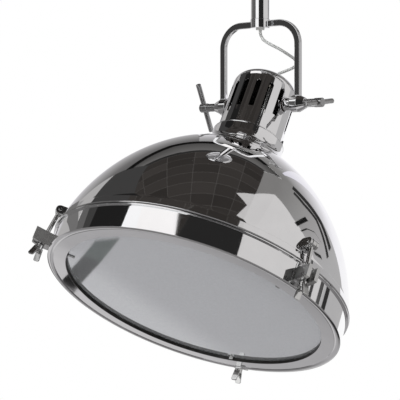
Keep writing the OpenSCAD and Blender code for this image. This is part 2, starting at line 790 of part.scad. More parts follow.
// Swing-bolt clamps
module clevis(a) {
    root = pin_out + clevis_root;
    color("silver") at_clamp(a) difference() {
        union() {
            for (side = [-1, 1]) translate([pin_r, side * (ear_gap + ear_t / 2), pin_z]) rotate([90, 0, 0]) {
                cylinder(h = ear_t, r = ear_r, center = true);
                translate([-root, -ear_r, -ear_t / 2]) cube([root, 2 * ear_r, ear_t]);
            }
            translate([pin_r - root, -ear_gap - ear_t, pin_z - ear_r])
                cube([root - eye_d / 2 - 2 * clear, 2 * (ear_gap + ear_t), 2 * ear_r]);
        }
        translate([pin_r, 0, pin_z]) along_y(-lug_w, 2 * lug_w, pin_d / 2 + fit);
        rotate_extrude($fn = 144) dome_outline(fit);
    }
}
module clevis_left() { clevis(left_clamp_a); }
module clevis_right() { clevis(right_clamp_a); }
module clevis_rear() { clevis(rear_clamp_a); }
module clevis_pins() {
    color("silver") for (a = clamp_angles)
        at_clamp(a) translate([pin_r, 0, pin_z]) along_y(-pin_l / 2, pin_l, pin_d / 2);
}
module lug(a) {
    reach = 2 * lug_out;
    color("silver") difference() {
        intersection() {
            at_bolt(a) difference() {
                translate([-reach, -lug_w / 2, -lug_end]) cube([2 * reach, lug_w, lug_h]);
                translate([0, -lug_slot_w / 2, -lug_end - over])
                    cube([reach + over, lug_slot_w, lug_h + 2 * over]);
                translate([0, 0, -lug_end - over]) cylinder(h = lug_h + 2 * over, r = lug_slot_w / 2);
            }
            at_bolt(a) along_y(-lug_w, 2 * lug_w, lug_end);
            at_head() translate([0, 0, lip_z - lug_h]) cylinder(h = 4 * lug_h, r = band_r + lug_out);
        }
        at_head() translate([0, 0, lip_z - lug_h]) cylinder(h = 4 * lug_h, r = band_r + fit, $fn = 144);
    }
}
module lug_left() { lug(left_clamp_a); }
module lug_right() { lug(right_clamp_a); }
module lug_rear() { lug(rear_clamp_a); }
module eye_bolt(a) {
    color("silver") at_bolt(a) difference() {
        union() {
            along_y(-eye_w / 2, eye_w, eye_d / 2);
            translate([0, 0, -bolt_l]) cylinder(h = bolt_l, d = bolt_d);
        }
        along_y(-eye_w, 2 * eye_w, pin_d / 2 + run);
    }
}
module eye_bolt_left() { eye_bolt(left_clamp_a); }
module eye_bolt_right() { eye_bolt(right_clamp_a); }
module eye_bolt_rear() { eye_bolt(rear_clamp_a); }
// A wing hangs from its root, with its two outer corners rounded
module wing_plate() {
    translate([-wing_w / 2, -wing_t / 2, -wing_l + wing_corner]) cube([wing_w, wing_t, wing_l - wing_corner]);
    translate([-wing_w / 2 + wing_corner, -wing_t / 2, -wing_l])
        cube([wing_w - 2 * wing_corner, wing_t, wing_corner + over]);
    for (side = [-1, 1]) translate([side * (wing_w / 2 - wing_corner), 0, -wing_l + wing_corner])
        along_y(-wing_t / 2, wing_t, wing_corner);
}
module wing_nut(a, nut_turn) {
    color("silver") at_bolt(a) translate([0, 0, -nut_top]) rotate([0, 0, nut_turn]) difference() {
        union() {
            translate([0, 0, -nut_h]) cylinder(h = nut_h, d = nut_d);
            for (side = [-1, 1]) translate([0, side * (nut_d / 2 - wing_root), -nut_h / 2])
                rotate([side * wing_splay, 0, 0]) wing_plate();
        }
        translate([0, 0, -wing_l - nut_h]) cylinder(h = wing_l + nut_h + over, d = bolt_d + 2 * run);
    }
}
module wing_nut_left() { wing_nut(left_clamp_a, left_nut_turn); }
module wing_nut_right() { wing_nut(right_clamp_a, right_nut_turn); }
module wing_nut_rear() { wing_nut(rear_clamp_a, rear_nut_turn); }

ceiling_plate();
canopy();
canopy_ring();
ring_grub_screw();
stem_tube();
stem_screws();
stem_cable();
yoke_hub();
yoke_arm_left();
yoke_arm_right();
arm_screws();
cable_bush();
cap();
cap_screws();
neck();
dome();
rim_moulding();
rim_gasket();
bezel();
glass();
glass_gasket();
glass_clips();
pivot_boss_left();
pivot_boss_right();
pivot_washers();
cable_gland();
gland_nut();
supply_cable();
inner_lead();
terminal_block();
holder_plate();
lamp_holder();
bulb_cap();
bulb_glass();
clevis_left();
clevis_right();
clevis_rear();
clevis_pins();
lug_left();
lug_right();
lug_rear();
clamp_screw_left();
clamp_bar_left();
clamp_screw_right();
clamp_bar_right();
eye_bolt_left();
eye_bolt_right();
eye_bolt_rear();
wing_nut_left();
wing_nut_right();
wing_nut_rear();
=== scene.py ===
import math
import bpy
from mathutils import Matrix, Vector


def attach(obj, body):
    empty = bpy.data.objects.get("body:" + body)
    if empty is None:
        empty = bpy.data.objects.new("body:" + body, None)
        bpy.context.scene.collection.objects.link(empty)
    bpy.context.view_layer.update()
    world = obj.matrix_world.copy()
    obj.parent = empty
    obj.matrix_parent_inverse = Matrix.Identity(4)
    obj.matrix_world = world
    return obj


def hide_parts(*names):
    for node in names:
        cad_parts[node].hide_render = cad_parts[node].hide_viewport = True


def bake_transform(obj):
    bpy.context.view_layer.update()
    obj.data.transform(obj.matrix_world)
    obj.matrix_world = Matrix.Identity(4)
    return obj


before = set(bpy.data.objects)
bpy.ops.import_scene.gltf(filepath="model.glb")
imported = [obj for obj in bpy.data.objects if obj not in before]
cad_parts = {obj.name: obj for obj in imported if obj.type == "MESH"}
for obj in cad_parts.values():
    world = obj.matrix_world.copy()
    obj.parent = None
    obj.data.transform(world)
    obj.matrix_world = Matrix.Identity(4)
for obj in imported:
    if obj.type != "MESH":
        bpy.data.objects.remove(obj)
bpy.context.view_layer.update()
scene = bpy.context.scene
scene.view_settings.view_transform = "Standard"
print("frame loaded:", len(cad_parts), "nodes")

# where the head sits: it tilts on the pivots, and its own axis points down through the glass
head = {"pivotHeight": -0.3083, "tilt": math.radians(31.8)}
headPlace = Matrix.Translation((0, 0, head["pivotHeight"])) @ Matrix.Rotation(-head["tilt"], 4, "X")
pivotPlace = Matrix.Translation((0, 0, head["pivotHeight"]))


# camera, matched to the view of the picture
view = {"place": (1.0517, -1.6624, -0.4518), "turn": math.radians(34.98), "lens": 116.62, "sensor": 36}
bpy.ops.object.select_all(action="DESELECT")
bpy.ops.object.camera_add(location=view["place"], rotation=(math.pi / 2, 0, view["turn"]))
camera = bpy.context.object
camera.name = "pictureCamera"
camera.data.sensor_width = view["sensor"]
camera.data.lens = view["lens"]
scene.camera = camera
print("camera placed")


# small helpers for the modelling

def clearSelection():
    if bpy.context.mode != "OBJECT":
        bpy.ops.object.mode_set(mode="OBJECT")
    bpy.ops.object.select_all(action="DESELECT")


def makeActive(piece):
    clearSelection()
    piece.select_set(True)
    bpy.context.view_layer.objects.active = piece


def placeAt(piece, place):
    piece.matrix_world = place @ piece.matrix_world
    makeActive(piece)
    bpy.ops.object.transform_apply(location=True, rotation=True, scale=True)
    return piece


def copyOf(piece, name):
    twin = piece.copy()
    twin.data = piece.data.copy()
    twin.name = name
    bpy.context.collection.objects.link(twin)
    return twin


def applyModifier(piece, kind, **settings):
    makeActive(piece)
    bpy.ops.object.modifier_add(type=kind)
    modifier = piece.modifiers[-1]
    for key, value in settings.items():
        setattr(modifier, key, value)
    bpy.ops.object.modifier_apply(modifier=modifier.name)


def combine(piece, other, operation):
    applyModifier(piece, "BOOLEAN", operation=operation, solver="EXACT", object=other)
    bpy.data.objects.remove(other)


def joinPieces(pieces):
    clearSelection()
    for piece in pieces:
        piece.select_set(True)
    bpy.context.view_layer.objects.active = pieces[0]
    bpy.ops.object.join()
    return pieces[0]


def smoothShade(piece, degrees=32):
    makeActive(piece)
    bpy.ops.object.shade_smooth_by_angle(angle=math.radians(degrees))
    return piece


def softenEdges(piece, width, degrees=35):
    applyModifier(
        piece, "BEVEL", width=width, segments=2, limit_method="ANGLE",
        angle_limit=math.radians(degrees), use_clamp_overlap=True,
    )
    smoothShade(piece)


def ovalPoints(centre, across, up, start, end, count):
    angles = [math.radians(start + (end - start) * i / count) for i in range(count + 1)]
    return [(centre[0] + across * math.cos(a), centre[1] + up * math.sin(a)) for a in angles]


def arcPoints(centre, radius, start, end, count):
    return ovalPoints(centre, radius, radius, start, end, count)


def angleFrom(centre, x, y):
    return math.degrees(math.atan2(y - centre[1], x - centre[0]))


def rodOutline(radius, half, edge):
    return [(0, -half), (radius, -half, edge), (radius, half, edge), (0, half)]


# a point of an outline is (x, y) or (x, y, rounding)
def roundedOutline(points, arcSteps=4):
    outline = []
    for i, point in enumerate(points):
        here = Vector(point[:2])
        if len(point) < 3:
            outline.append(here)
            continue
        rounding = point[2]
        toBefore = (Vector(points[i - 1][:2]) - here).normalized()
        toAfter = (Vector(points[(i + 1) % len(points)][:2]) - here).normalized()
        half = toBefore.angle(toAfter) / 2
        middle = here + (toBefore + toAfter).normalized() * rounding / math.sin(half)
        first = here + toBefore * rounding / math.tan(half) - middle
        last = here + toAfter * rounding / math.tan(half) - middle
        start = math.atan2(first.y, first.x)
        sweep = math.atan2(first.cross(last), first.dot(last))
        for k in range(arcSteps + 1):
            a = start + sweep * k / arcSteps
            outline.append(middle + rounding * Vector((math.cos(a), math.sin(a))))
    return outline


# starts from a small plane merged to one point, and extrudes that from point to point in the XZ plane
def drawOutline(name, outline):
    clearSelection()
    bpy.ops.mesh.primitive_plane_add(size=0.002)
    piece = bpy.context.object
    piece.name = name
    bpy.ops.object.mode_set(mode="EDIT")
    bpy.ops.mesh.select_all(action="SELECT")
    bpy.ops.mesh.merge(type="CENTER")
    bpy.ops.transform.translate(value=(outline[0].x, 0, outline[0].y))
    for here, there in zip(outline, outline[1:]):
        step = (there.x - here.x, 0, there.y - here.y)
        bpy.ops.mesh.extrude_vertices_move(TRANSFORM_OT_translate={"value": step})
    return piece


# a shape turned on a lathe: the outline is (radius, height), closed unless it ends on the axis
def turnedShape(name, points, steps, closed=True):
    outline = roundedOutline(points)
    if closed:
        outline.append(outline[0])
    piece = drawOutline(name, outline)
    bpy.ops.mesh.select_all(action="SELECT")
    bpy.ops.mesh.spin(steps=steps, angle=2 * math.pi, center=(0, 0, 0), axis=(0, 0, 1))
    bpy.ops.mesh.select_all(action="SELECT")
    bpy.ops.mesh.remove_doubles(threshold=2e-6)
    bpy.ops.mesh.normals_make_consistent(inside=False)
    bpy.ops.object.mode_set(mode="OBJECT")
    return smoothShade(piece)


# a flat outline in the XZ plane, pulled out along Y and centred on it
def pulledShape(name, points, width, arcSteps=4):
    outline = roundedOutline(points, arcSteps)
    piece = drawOutline(name, outline)
    bpy.ops.mesh.select_all(action="SELECT")
    bpy.ops.mesh.edge_face_add()
    bpy.ops.transform.translate(value=(0, -width / 2, 0))
    bpy.ops.mesh.extrude_region_move(TRANSFORM_OT_translate={"value": (0, width, 0)})
    bpy.ops.mesh.select_all(action="SELECT")
    bpy.ops.mesh.normals_make_consistent(inside=False)
    bpy.ops.object.mode_set(mode="OBJECT")
    return piece


# lays a shape turned about Z along X, out to one side
def alongX(piece, side):
    return placeAt(piece, Matrix.Rotation(side * math.pi / 2, 4, "Y"))


def addCylinder(radius, depth, vertices, location=(0, 0, 0), rotation=(0, 0, 0)):
    clearSelection()
    bpy.ops.mesh.primitive_cylinder_add(
        vertices=vertices, radius=radius, depth=depth, location=location, rotation=rotation,
    )
    return bpy.context.object


# makes a round cutter long: the vertices that the test picks move by one step
def stretchCutter(cutter, picks, step):
    bpy.ops.object.mode_set(mode="EDIT")
    bpy.ops.mesh.select_all(action="DESELECT")
    bpy.ops.object.mode_set(mode="OBJECT")
    for vertex in cutter.data.vertices:
        vertex.select = picks(vertex.co)
    bpy.ops.object.mode_set(mode="EDIT")
    bpy.ops.transform.translate(value=step)
    bpy.ops.object.mode_set(mode="OBJECT")


# weighted normals keep flat and gently curved faces true, so the polished metal mirrors
# without bends at its edges
def dress(piece, material, body, slotName, *nodes):
    applyModifier(piece, "WEIGHTED_NORMAL", weight=50, keep_sharp=True)
    piece.data.materials.clear()
    piece.data.materials.append(material)
    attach(piece, body)
    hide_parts(*nodes)


# gives the faces that the test picks a second finish
def refinish(piece, material, picks):
    piece.data.materials.append(material)
    for face in piece.data.polygons:
        if picks(face):
            face.material_index = 1


# finishes
noiseRange = (0.3, 0.7)  # where most values of a noise lie


def newFinish(name, **values):
    material = bpy.data.materials.new(name)
    material.use_nodes = True
    shader = material.node_tree.nodes["Principled BSDF"]
    for key, value in values.items():
        shader.inputs[key].default_value = value
    return material, material.node_tree.nodes, material.node_tree.links, shader


def objectPoints(nodes, links, stretch=(1, 1, 1)):
    coords = nodes.new("ShaderNodeTexCoord")
    mapping = nodes.new("ShaderNodeMapping")
    mapping.inputs["Scale"].default_value = stretch
    links.new(coords.outputs["Object"], mapping.inputs["Vector"])
    return mapping.outputs["Vector"]


def noiseValue(nodes, links, points, scale, detail=4, roughness=0.55):
    noise = nodes.new("ShaderNodeTexNoise")
    noise.inputs["Scale"].default_value = scale
    noise.inputs["Detail"].default_value = detail
    noise.inputs["Roughness"].default_value = roughness
    links.new(points, noise.inputs["Vector"])
    return noise.outputs["Fac"]


def spread(nodes, links, value, low, high):
    remap = nodes.new("ShaderNodeMapRange")
    remap.inputs["From Min"].default_value = noiseRange[0]
    remap.inputs["From Max"].default_value = noiseRange[1]
    remap.inputs["To Min"].default_value = low
    remap.inputs["To Max"].default_value = high
    links.new(value, remap.inputs["Value"])
    return remap.outputs["Result"]


def shades(nodes, links, value, dark, light, ends=noiseRange):
    ramp = nodes.new("ShaderNodeValToRGB")
    ramp.color_ramp.elements[0].position = ends[0]
    ramp.color_ramp.elements[0].color = (*dark, 1)
    ramp.color_ramp.elements[1].position = ends[1]
    ramp.color_ramp.elements[1].color = (*light, 1)
    links.new(value, ramp.inputs["Fac"])
    return ramp.outputs["Color"]


def addBump(nodes, links, shader, height, strength, distance):
    bump = nodes.new("ShaderNodeBump")
    bump.inputs["Strength"].default_value = strength
    bump.inputs["Distance"].default_value = distance
    links.new(height, bump.inputs["Height"])
    links.new(bump.outputs["Normal"], shader.inputs["Normal"])


# polished plating: cloudy wiping marks in the gloss and the slow waviness of spun sheet
def polishedFinish(name, dark, light, rough, strength, distance):
    material, nodes, links, shader = newFinish(name, Metallic=1.0)
    points = objectPoints(nodes, links)
    wiped = noiseValue(nodes, links, points, scale=26, detail=6, roughness=0.6)
    links.new(shades(nodes, links, wiped, dark, light), shader.inputs["Base Color"])
    links.new(spread(nodes, links, wiped, *rough), shader.inputs["Roughness"])
    slow = noiseValue(nodes, links, points, scale=9, detail=2, roughness=0.4)
    addBump(nodes, links, shader, slow, strength, distance)
    return material


# machined or cast steel: fine lines, drawn out along one direction or not, with duller patches
def satinFinish(name, dark, light, rough, stretch, bump):
    material, nodes, links, shader = newFinish(name, Metallic=1.0)
    lines = noiseValue(nodes, links, objectPoints(nodes, links, stretch), scale=140, detail=5, roughness=0.65)
    patches = noiseValue(nodes, links, objectPoints(nodes, links), scale=90, detail=4, roughness=0.5)
    links.new(shades(nodes, links, lines, dark, light, ends=(0.25, 0.75)), shader.inputs["Base Color"])
    links.new(spread(nodes, links, patches, *rough), shader.inputs["Roughness"])
    addBump(nodes, links, shader, lines, bump, distance=0.00015)
    return material


# moulded or fired surfaces: a little mottling in colour and gloss, and a fine skin
def mouldedFinish(name, dark, light, rough, grain, bump, **values):
    material, nodes, links, shader = newFinish(name, **values)
    points = objectPoints(nodes, links)
    mottle = noiseValue(nodes, links, points, scale=grain * 0.2)
    links.new(shades(nodes, links, mottle, dark, light), shader.inputs["Base Color"])
    links.new(spread(nodes, links, mottle, *rough), shader.inputs["Roughness"])
    skin = noiseValue(nodes, links, points, scale=grain, detail=3, roughness=0.5)
    addBump(nodes, links, shader, skin, bump, distance=0.0002)
    return material


chrome = polishedFinish(
    "chrome", (0.89, 0.89, 0.90), (0.94, 0.94, 0.95), rough=(0.02, 0.055), strength=0.05, distance=0.004,
)
nickel = polishedFinish(
    "nickel", (0.60, 0.58, 0.54), (0.70, 0.68, 0.64), rough=(0.06, 0.16), strength=0.04, distance=0.001,
)
brass = polishedFinish(
    "brass", (0.62, 0.45, 0.18), (0.78, 0.60, 0.28), rough=(0.10, 0.24), strength=0.04, distance=0.001,
)

drawn, plain = (1, 1, 0.06), (1, 1, 1)  # how far the lines of a steel are drawn out
satinSteel = satinFinish("satinSteel", (0.42, 0.42, 0.42), (0.62, 0.62, 0.62), (0.14, 0.26), drawn, bump=0.04)
brightSteel = satinFinish("brightSteel", (0.62, 0.62, 0.62), (0.80, 0.80, 0.79), (0.10, 0.20), drawn, bump=0.02)
castSteel = satinFinish("castSteel", (0.58, 0.58, 0.58), (0.70, 0.70, 0.69), (0.24, 0.34), plain, bump=0.02)
zincSteel = satinFinish("zincSteel", (0.52, 0.53, 0.55), (0.68, 0.69, 0.70), (0.22, 0.40), plain, bump=0.10)
# a near-black unpolished finish: painted shade for the hollow inside the cap
unpolishedInsidePaintedShade = satinFinish(
    "unpolishedInsidePaintedShade", (0.020, 0.019, 0.018), (0.045, 0.043, 0.041), (0.45, 0.65), plain, bump=0.10,
)
# a near-black finish: painted shade for the recessed inner wall of the bezel round the glass
seatPaintedShade = satinFinish(
    "seatPaintedShade", (0.050, 0.048, 0.046), (0.085, 0.082, 0.079), (0.45, 0.60), plain, bump=0.06,
)

blackRubber = mouldedFinish(
    "blackRubber", (0.010, 0.010, 0.010), (0.028, 0.027, 0.026), (0.55, 0.75), grain=900, bump=0.25,
)
fibre = mouldedFinish(
    "fibre", (0.030, 0.024, 0.020), (0.075, 0.060, 0.050), (0.60, 0.80), grain=1200, bump=0.35,
)
cablePlastic = mouldedFinish(
    "cablePlastic", (0.56, 0.57, 0.56), (0.68, 0.69, 0.68), (0.18, 0.30), grain=700, bump=0.08,
)
whitePlastic = mouldedFinish(
    "whitePlastic", (0.70, 0.70, 0.68), (0.80, 0.80, 0.78), (0.35, 0.50), grain=600, bump=0.08,
)
porcelain = mouldedFinish(
    "porcelain", (0.74, 0.72, 0.67), (0.83, 0.82, 0.78), (0.10, 0.20), grain=300, bump=0.05,
)
opalGlass = mouldedFinish(
    "opalGlass", (0.80, 0.80, 0.78), (0.88, 0.88, 0.86), (0.08, 0.16), grain=120, bump=0.02,
)
frostedGlass = mouldedFinish(
    "frostedGlass", (0.80, 0.82, 0.85), (0.86, 0.88, 0.91), (0.015, 0.03), grain=1500, bump=0.01,
    Metallic=0.75, IOR=1.5,
)
print("finishes made")


# supply cable: thin flex from the hub's bush, one loop out to the right and back into the gland
cable = {
    "diameter": 0.0046,
    "exit": (0, 0, -0.1937),
    "points": [
        (0, 0, -0.1937), (0.0008, 0, -0.2013), (0.005, 0, -0.2085), (0.013, 0.0005, -0.2143),
        (0.023, 0.002, -0.2198), (0.033, 0.006, -0.2258), (0.0405, 0.014, -0.2323),
        (0.0435, 0.028, -0.2383), (0.0385, 0.043, -0.2438), (0.0265, 0.0515, -0.2488),
        (0.014, 0.0515, -0.2528), (0.004, 0.046, -0.2573),
    ],
    "glandBack": 0.010, "glandRun": 0.059, "glandTop": 0.052,
    "steps": 6, "roundSteps": 4, "smoothBelow": 50,
}


# a smooth curve through all the points
def smoothRoute(points, steps):
    line = [Vector(p) for p in points]
    line = [2 * line[0] - line[1]] + line + [2 * line[-1] - line[-2]]
    route = []
    for a, b, c, d in zip(line, line[1:], line[2:], line[3:]):
        for k in range(steps):
            t = k / steps
            place = 2 * b + (c - a) * t + (2 * a - 5 * b + 4 * c - d) * t * t
            route.append((place + (3 * b - a - 3 * c + d) * t ** 3) / 2)
    return route + [line[-2]]


glandEnds = [headPlace @ Vector((0, cable["glandBack"], h)) for h in (cable["glandRun"], cable["glandTop"])]
cableRoute = smoothRoute(cable["points"] + glandEnds, cable["steps"])
clearSelection()
bpy.ops.curve.primitive_nurbs_path_add()
supplyCable = bpy.context.object
supplyCable.name = "supplyCable"
supplyCable.data.splines.clear()
line = supplyCable.data.splines.new("POLY")
line.points.add(len(cableRoute) - 1)
for point, place in zip(line.points, cableRoute):
    point.co = (*place, 1)
supplyCable.data.bevel_depth = cable["diameter"] / 2
supplyCable.data.bevel_resolution = cable["roundSteps"]
supplyCable.data.use_fill_caps = True
makeActive(supplyCable)
bpy.ops.object.convert(target="MESH")
supplyCable = bpy.context.object
bpy.ops.object.mode_set(mode="EDIT")
bpy.ops.mesh.select_all(action="SELECT")
bpy.ops.mesh.normals_make_consistent(inside=False)
bpy.ops.object.mode_set(mode="OBJECT")
smoothShade(supplyCable, cable["smoothBelow"])
supplyCable.data.materials.clear()
supplyCable.data.materials.append(cablePlastic)
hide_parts("supply_cable")
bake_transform(supplyCable)


# ceiling fitting and stem
canopy = {
    "radius": 0.060, "skirt": 0.010, "height": 0.032, "wall": 0.0015, "mouth": 0.01405,
    "ringRadius": 0.020, "edge": 0.0004, "curveSteps": 28,
}
canopyCurve = (canopy["ringRadius"], -canopy["skirt"])
canopyAcross = canopy["radius"] - canopy["ringRadius"]
canopyUp = canopy["height"] - canopy["skirt"]
canopyPiece = turnedShape("canopyCover", [
    (canopy["radius"] - canopy["wall"], 0), (canopy["radius"], 0, canopy["edge"]),
    *ovalPoints(canopyCurve, canopyAcross, canopyUp, 0, -90, canopy["curveSteps"]),
    (canopy["mouth"], -canopy["height"]), (canopy["mouth"], -canopy["height"] + canopy["wall"]),
    *ovalPoints(
        canopyCurve, canopyAcross - canopy["wall"], canopyUp - canopy["wall"], -90, 0, canopy["curveSteps"],
    ),
], steps=160)
dress(canopyPiece, chrome, "hanger", "chrome", "canopy")

canopyRing = {"radius": 0.020, "bore": 0.01405, "top": -0.032, "height": 0.016, "edge": 0.0012}
ringPiece = turnedShape("canopyRing", [
    (canopyRing["bore"], canopyRing["top"]), (canopyRing["radius"], canopyRing["top"]),
    (canopyRing["radius"], canopyRing["top"] - canopyRing["height"], canopyRing["edge"]),
    (canopyRing["bore"], canopyRing["top"] - canopyRing["height"]),
], steps=96)
dress(ringPiece, chrome, "hanger", "chrome", "canopy_ring")

stem = {"radius": 0.014, "wall": 0.0015, "top": -0.004, "bottom": -0.178, "edge": 0.0003}
stemPiece = turnedShape("stemTube", [
    (stem["radius"] - stem["wall"], stem["top"]), (stem["radius"], stem["top"]),
    (stem["radius"], stem["bottom"], stem["edge"]), (stem["radius"] - stem["wall"], stem["bottom"]),
], steps=96)
dress(stemPiece, chrome, "hanger", "chrome", "stem_tube")
print("ceiling fitting and stem made")


# yoke: hub, two bent arms with turned barrels at their feet
hub = {
    "radius": 0.0148, "bore": 0.005, "top": -0.178, "bottom": -0.1917, "edge": 0.0007,
    "spigot": 0.01245, "spigotTop": -0.162,
}
hubPiece = turnedShape("yokeHub", [
    (hub["bore"], hub["spigotTop"]), (hub["spigot"], hub["spigotTop"]), (hub["spigot"], hub["top"]),
    (hub["radius"], hub["top"], hub["edge"]), (hub["radius"], hub["bottom"], hub["edge"]),
    (hub["bore"], hub["bottom"]),
], steps=96)
dress(hubPiece, chrome, "hanger", "chrome", "yoke_hub")

arm = {
    "start": 0.0142, "barHeight": -0.1857, "width": 0.010, "depth": 0.007, "corner": 0.0012,
    "legX": 0.0665, "shoulder": 0.033, "legFoot": 0.008, "bendSteps": 22,
    "barrelIn": 0.0573, "barrelLength": 0.0118, "taper": 0.0105, "barrelRadius": 0.013, "tipRadius": 0.008,
    "bore": 0.0041, "edge": 0.0008,
}


def makeArm(name, side, node):
    clearSelection()
    bpy.ops.mesh.primitive_plane_add(
        size=1, location=(side * arm["start"], 0, arm["barHeight"]), rotation=(0, math.pi / 2, 0),
    )
    bar = bpy.context.object
    bar.name = name
    bar.scale = (arm["width"], arm["depth"], 1)
    bpy.ops.object.transform_apply(location=True, rotation=True, scale=True)
    bpy.ops.object.mode_set(mode="EDIT")
    bpy.ops.mesh.select_all(action="SELECT")
    bpy.ops.mesh.bevel(offset=arm["corner"], segments=4, affect="VERTICES")
    straight = arm["legX"] - arm["shoulder"]
    along = (side * (straight - arm["start"]), 0, 0)
    bpy.ops.mesh.extrude_region_move(TRANSFORM_OT_translate={"value": along})
    bendCentre = (side * straight, 0, arm["barHeight"] - arm["shoulder"])
    bpy.ops.mesh.spin(steps=arm["bendSteps"], angle=-side * math.pi / 2, center=bendCentre, axis=(0, 1, 0))
    drop = arm["barHeight"] - arm["shoulder"] - (head["pivotHeight"] + arm["legFoot"])
    bpy.ops.mesh.extrude_region_move(TRANSFORM_OT_translate={"value": (0, 0, -drop)})
    bpy.ops.mesh.select_all(action="SELECT")
    bpy.ops.mesh.remove_doubles(threshold=1e-6)
    bpy.ops.mesh.normals_make_consistent(inside=False)
    bpy.ops.object.mode_set(mode="OBJECT")
    barrel = turnedShape(name + "Barrel", [
        (arm["bore"], arm["barrelIn"]), (arm["barrelRadius"], arm["barrelIn"], arm["edge"]),
        (arm["barrelRadius"], arm["barrelIn"] + arm["barrelLength"], arm["edge"]),
        (arm["tipRadius"], arm["barrelIn"] + arm["barrelLength"] + arm["taper"], arm["edge"]),
        (arm["bore"], arm["barrelIn"] + arm["barrelLength"] + arm["taper"]),
    ], steps=96)
    placeAt(alongX(barrel, side), pivotPlace)
    combine(bar, barrel, "UNION")
    smoothShade(bar)
    dress(bar, chrome, "hanger", "chrome", node)


makeArm("yokeArmRight", 1, "yoke_arm_right")
makeArm("yokeArmLeft", -1, "yoke_arm_left")
print("yoke made")


# head: vented cap, neck, dome and its rim moulding, and the bezel round the glass
cap = {
    "radius": 0.0495, "wall": 0.0016, "bottom": -0.0635, "sideTop": 0.023, "flat": 0.018, "crown": 0.023,
    "slotPlaces": 16, "slotWidth": 0.008, "slotLength": 0.0555, "slotTop": 0.0145, "slotEdge": 0.00075,
    "slotEdgeAngle": 50, "cutDepth": 0.016, "insideFacing": -0.5, "curveSteps": 30, "steps": 256,
}
crownCurve = (cap["flat"], cap["sideTop"])
crownAcross = cap["radius"] - cap["flat"]
capPiece = turnedShape("ventedCap", [
    (cap["radius"] - cap["wall"], cap["bottom"]), (cap["radius"], cap["bottom"]),
    *ovalPoints(crownCurve, crownAcross, cap["crown"], 0, 90, cap["curveSteps"]),
    (0, cap["sideTop"] + cap["crown"]), (0, cap["sideTop"] + cap["crown"] - cap["wall"]),
    *ovalPoints(
        crownCurve, crownAcross - cap["wall"], cap["crown"] - cap["wall"], 90, 0, cap["curveSteps"],
    ),
], steps=cap["steps"])
slotMiddle = cap["slotTop"] - cap["slotWidth"] / 2
slotCutter = addCylinder(
    cap["slotWidth"] / 2, cap["cutDepth"], 36,
    location=(cap["radius"], 0, slotMiddle), rotation=(0, math.pi / 2, 0),
)
bpy.ops.object.transform_apply(location=True, rotation=True, scale=True)
stretchCutter(
    slotCutter, lambda place: place.z < slotMiddle - 1e-5, (0, 0, cap["slotWidth"] - cap["slotLength"]),
)
cutters = []
for i in range(cap["slotPlaces"]):
    if i % (cap["slotPlaces"] // 2) == 0:  # the two places at the pivots stay blank
        continue
    turn = Matrix.Rotation(2 * math.pi * i / cap["slotPlaces"], 4, "Z")
    cutters.append(placeAt(copyOf(slotCutter, "slotCutter"), turn))
bpy.data.objects.remove(slotCutter)
combine(capPiece, joinPieces(cutters), "DIFFERENCE")
softenEdges(capPiece, cap["slotEdge"], cap["slotEdgeAngle"])
dress(capPiece, chrome, "lamp_head", "chrome", "cap")


# the cap's inside is unpolished metal, painted near black as painted shade for the dark hollow seen through the
# slots
def isInside(face):
    outward = Vector((face.center.x, face.center.y, max(0, face.center.z - cap["sideTop"])))
    return face.normal.dot(outward) < cap["insideFacing"] * outward.length


refinish(capPiece, unpolishedInsidePaintedShade, isInside)
placeAt(capPiece, headPlace)

neck = {
    "radius": 0.0545, "top": -0.0635, "straight": 0.0116, "fillet": 0.0295, "filletEnd": 241.7,
    "sleeve": 0.04785, "sleeveTop": -0.0315, "inside": 0.04555, "wall": 0.003,
    "bead": 0.0012, "beadOut": 0.0004, "beadEnd": -48,
}
filletCentre = (neck["radius"] + neck["fillet"], neck["top"] - neck["straight"])
beadCentre = (neck["radius"] + neck["beadOut"] - neck["bead"], neck["top"] - neck["bead"])
neckPiece = turnedShape("neck", [
    (neck["inside"], neck["sleeveTop"]), (neck["sleeve"], neck["sleeveTop"]), (neck["sleeve"], neck["top"]),
    *arcPoints(beadCentre, neck["bead"], 90, neck["beadEnd"], 12),
    *arcPoints(filletCentre, neck["fillet"], 180, neck["filletEnd"], 24),
    *arcPoints(filletCentre, neck["fillet"] + neck["wall"], neck["filletEnd"], 180, 12),
    (neck["inside"], neck["top"] - neck["straight"]),
], steps=192)
dress(placeAt(neckPiece, headPlace), chrome, "lamp_head", "chrome", "neck")

dome = {
    "centre": (-0.064788, -0.351725), "radius": 0.284601, "foot": (0.070014, -0.101074), "footGap": 0.04,
    "rim": 0.214, "rimTop": -0.2945, "skirt": -0.306, "wall": 0.0016, "steps": 224,
}
footAngle = angleFrom(dome["centre"], *dome["foot"]) - dome["footGap"]
rimAngle = angleFrom(dome["centre"], dome["rim"], dome["rimTop"])
domePiece = turnedShape("dome", [
    *arcPoints(dome["centre"], dome["radius"], footAngle, rimAngle, 56),
    (dome["rim"], dome["skirt"]), (dome["rim"] - dome["wall"], dome["skirt"]),
    *arcPoints(dome["centre"], dome["radius"] - dome["wall"], rimAngle, footAngle, 28),
], steps=dome["steps"])
dress(placeAt(domePiece, headPlace), chrome, "lamp_head", "chrome", "dome")

rim = {
    "radius": 0.21405, "top": -0.2945, "bottom": -0.306, "step": 0.00095, "stepEdge": 0.0004,
    "out": 0.00395, "edge": 0.0006, "foot": 0.0012,
}
rimPiece = turnedShape("rimMoulding", [
    (rim["radius"], rim["bottom"]), (rim["radius"], rim["top"]),
    (rim["radius"] + rim["step"], rim["top"], rim["stepEdge"]),
    (rim["radius"] + rim["out"], rim["bottom"] + rim["foot"], rim["edge"]),
    (rim["radius"] + rim["out"] - rim["foot"], rim["bottom"]),
], steps=dome["steps"])
dress(placeAt(rimPiece, headPlace), chrome, "lamp_head", "chrome", "rim_moulding")

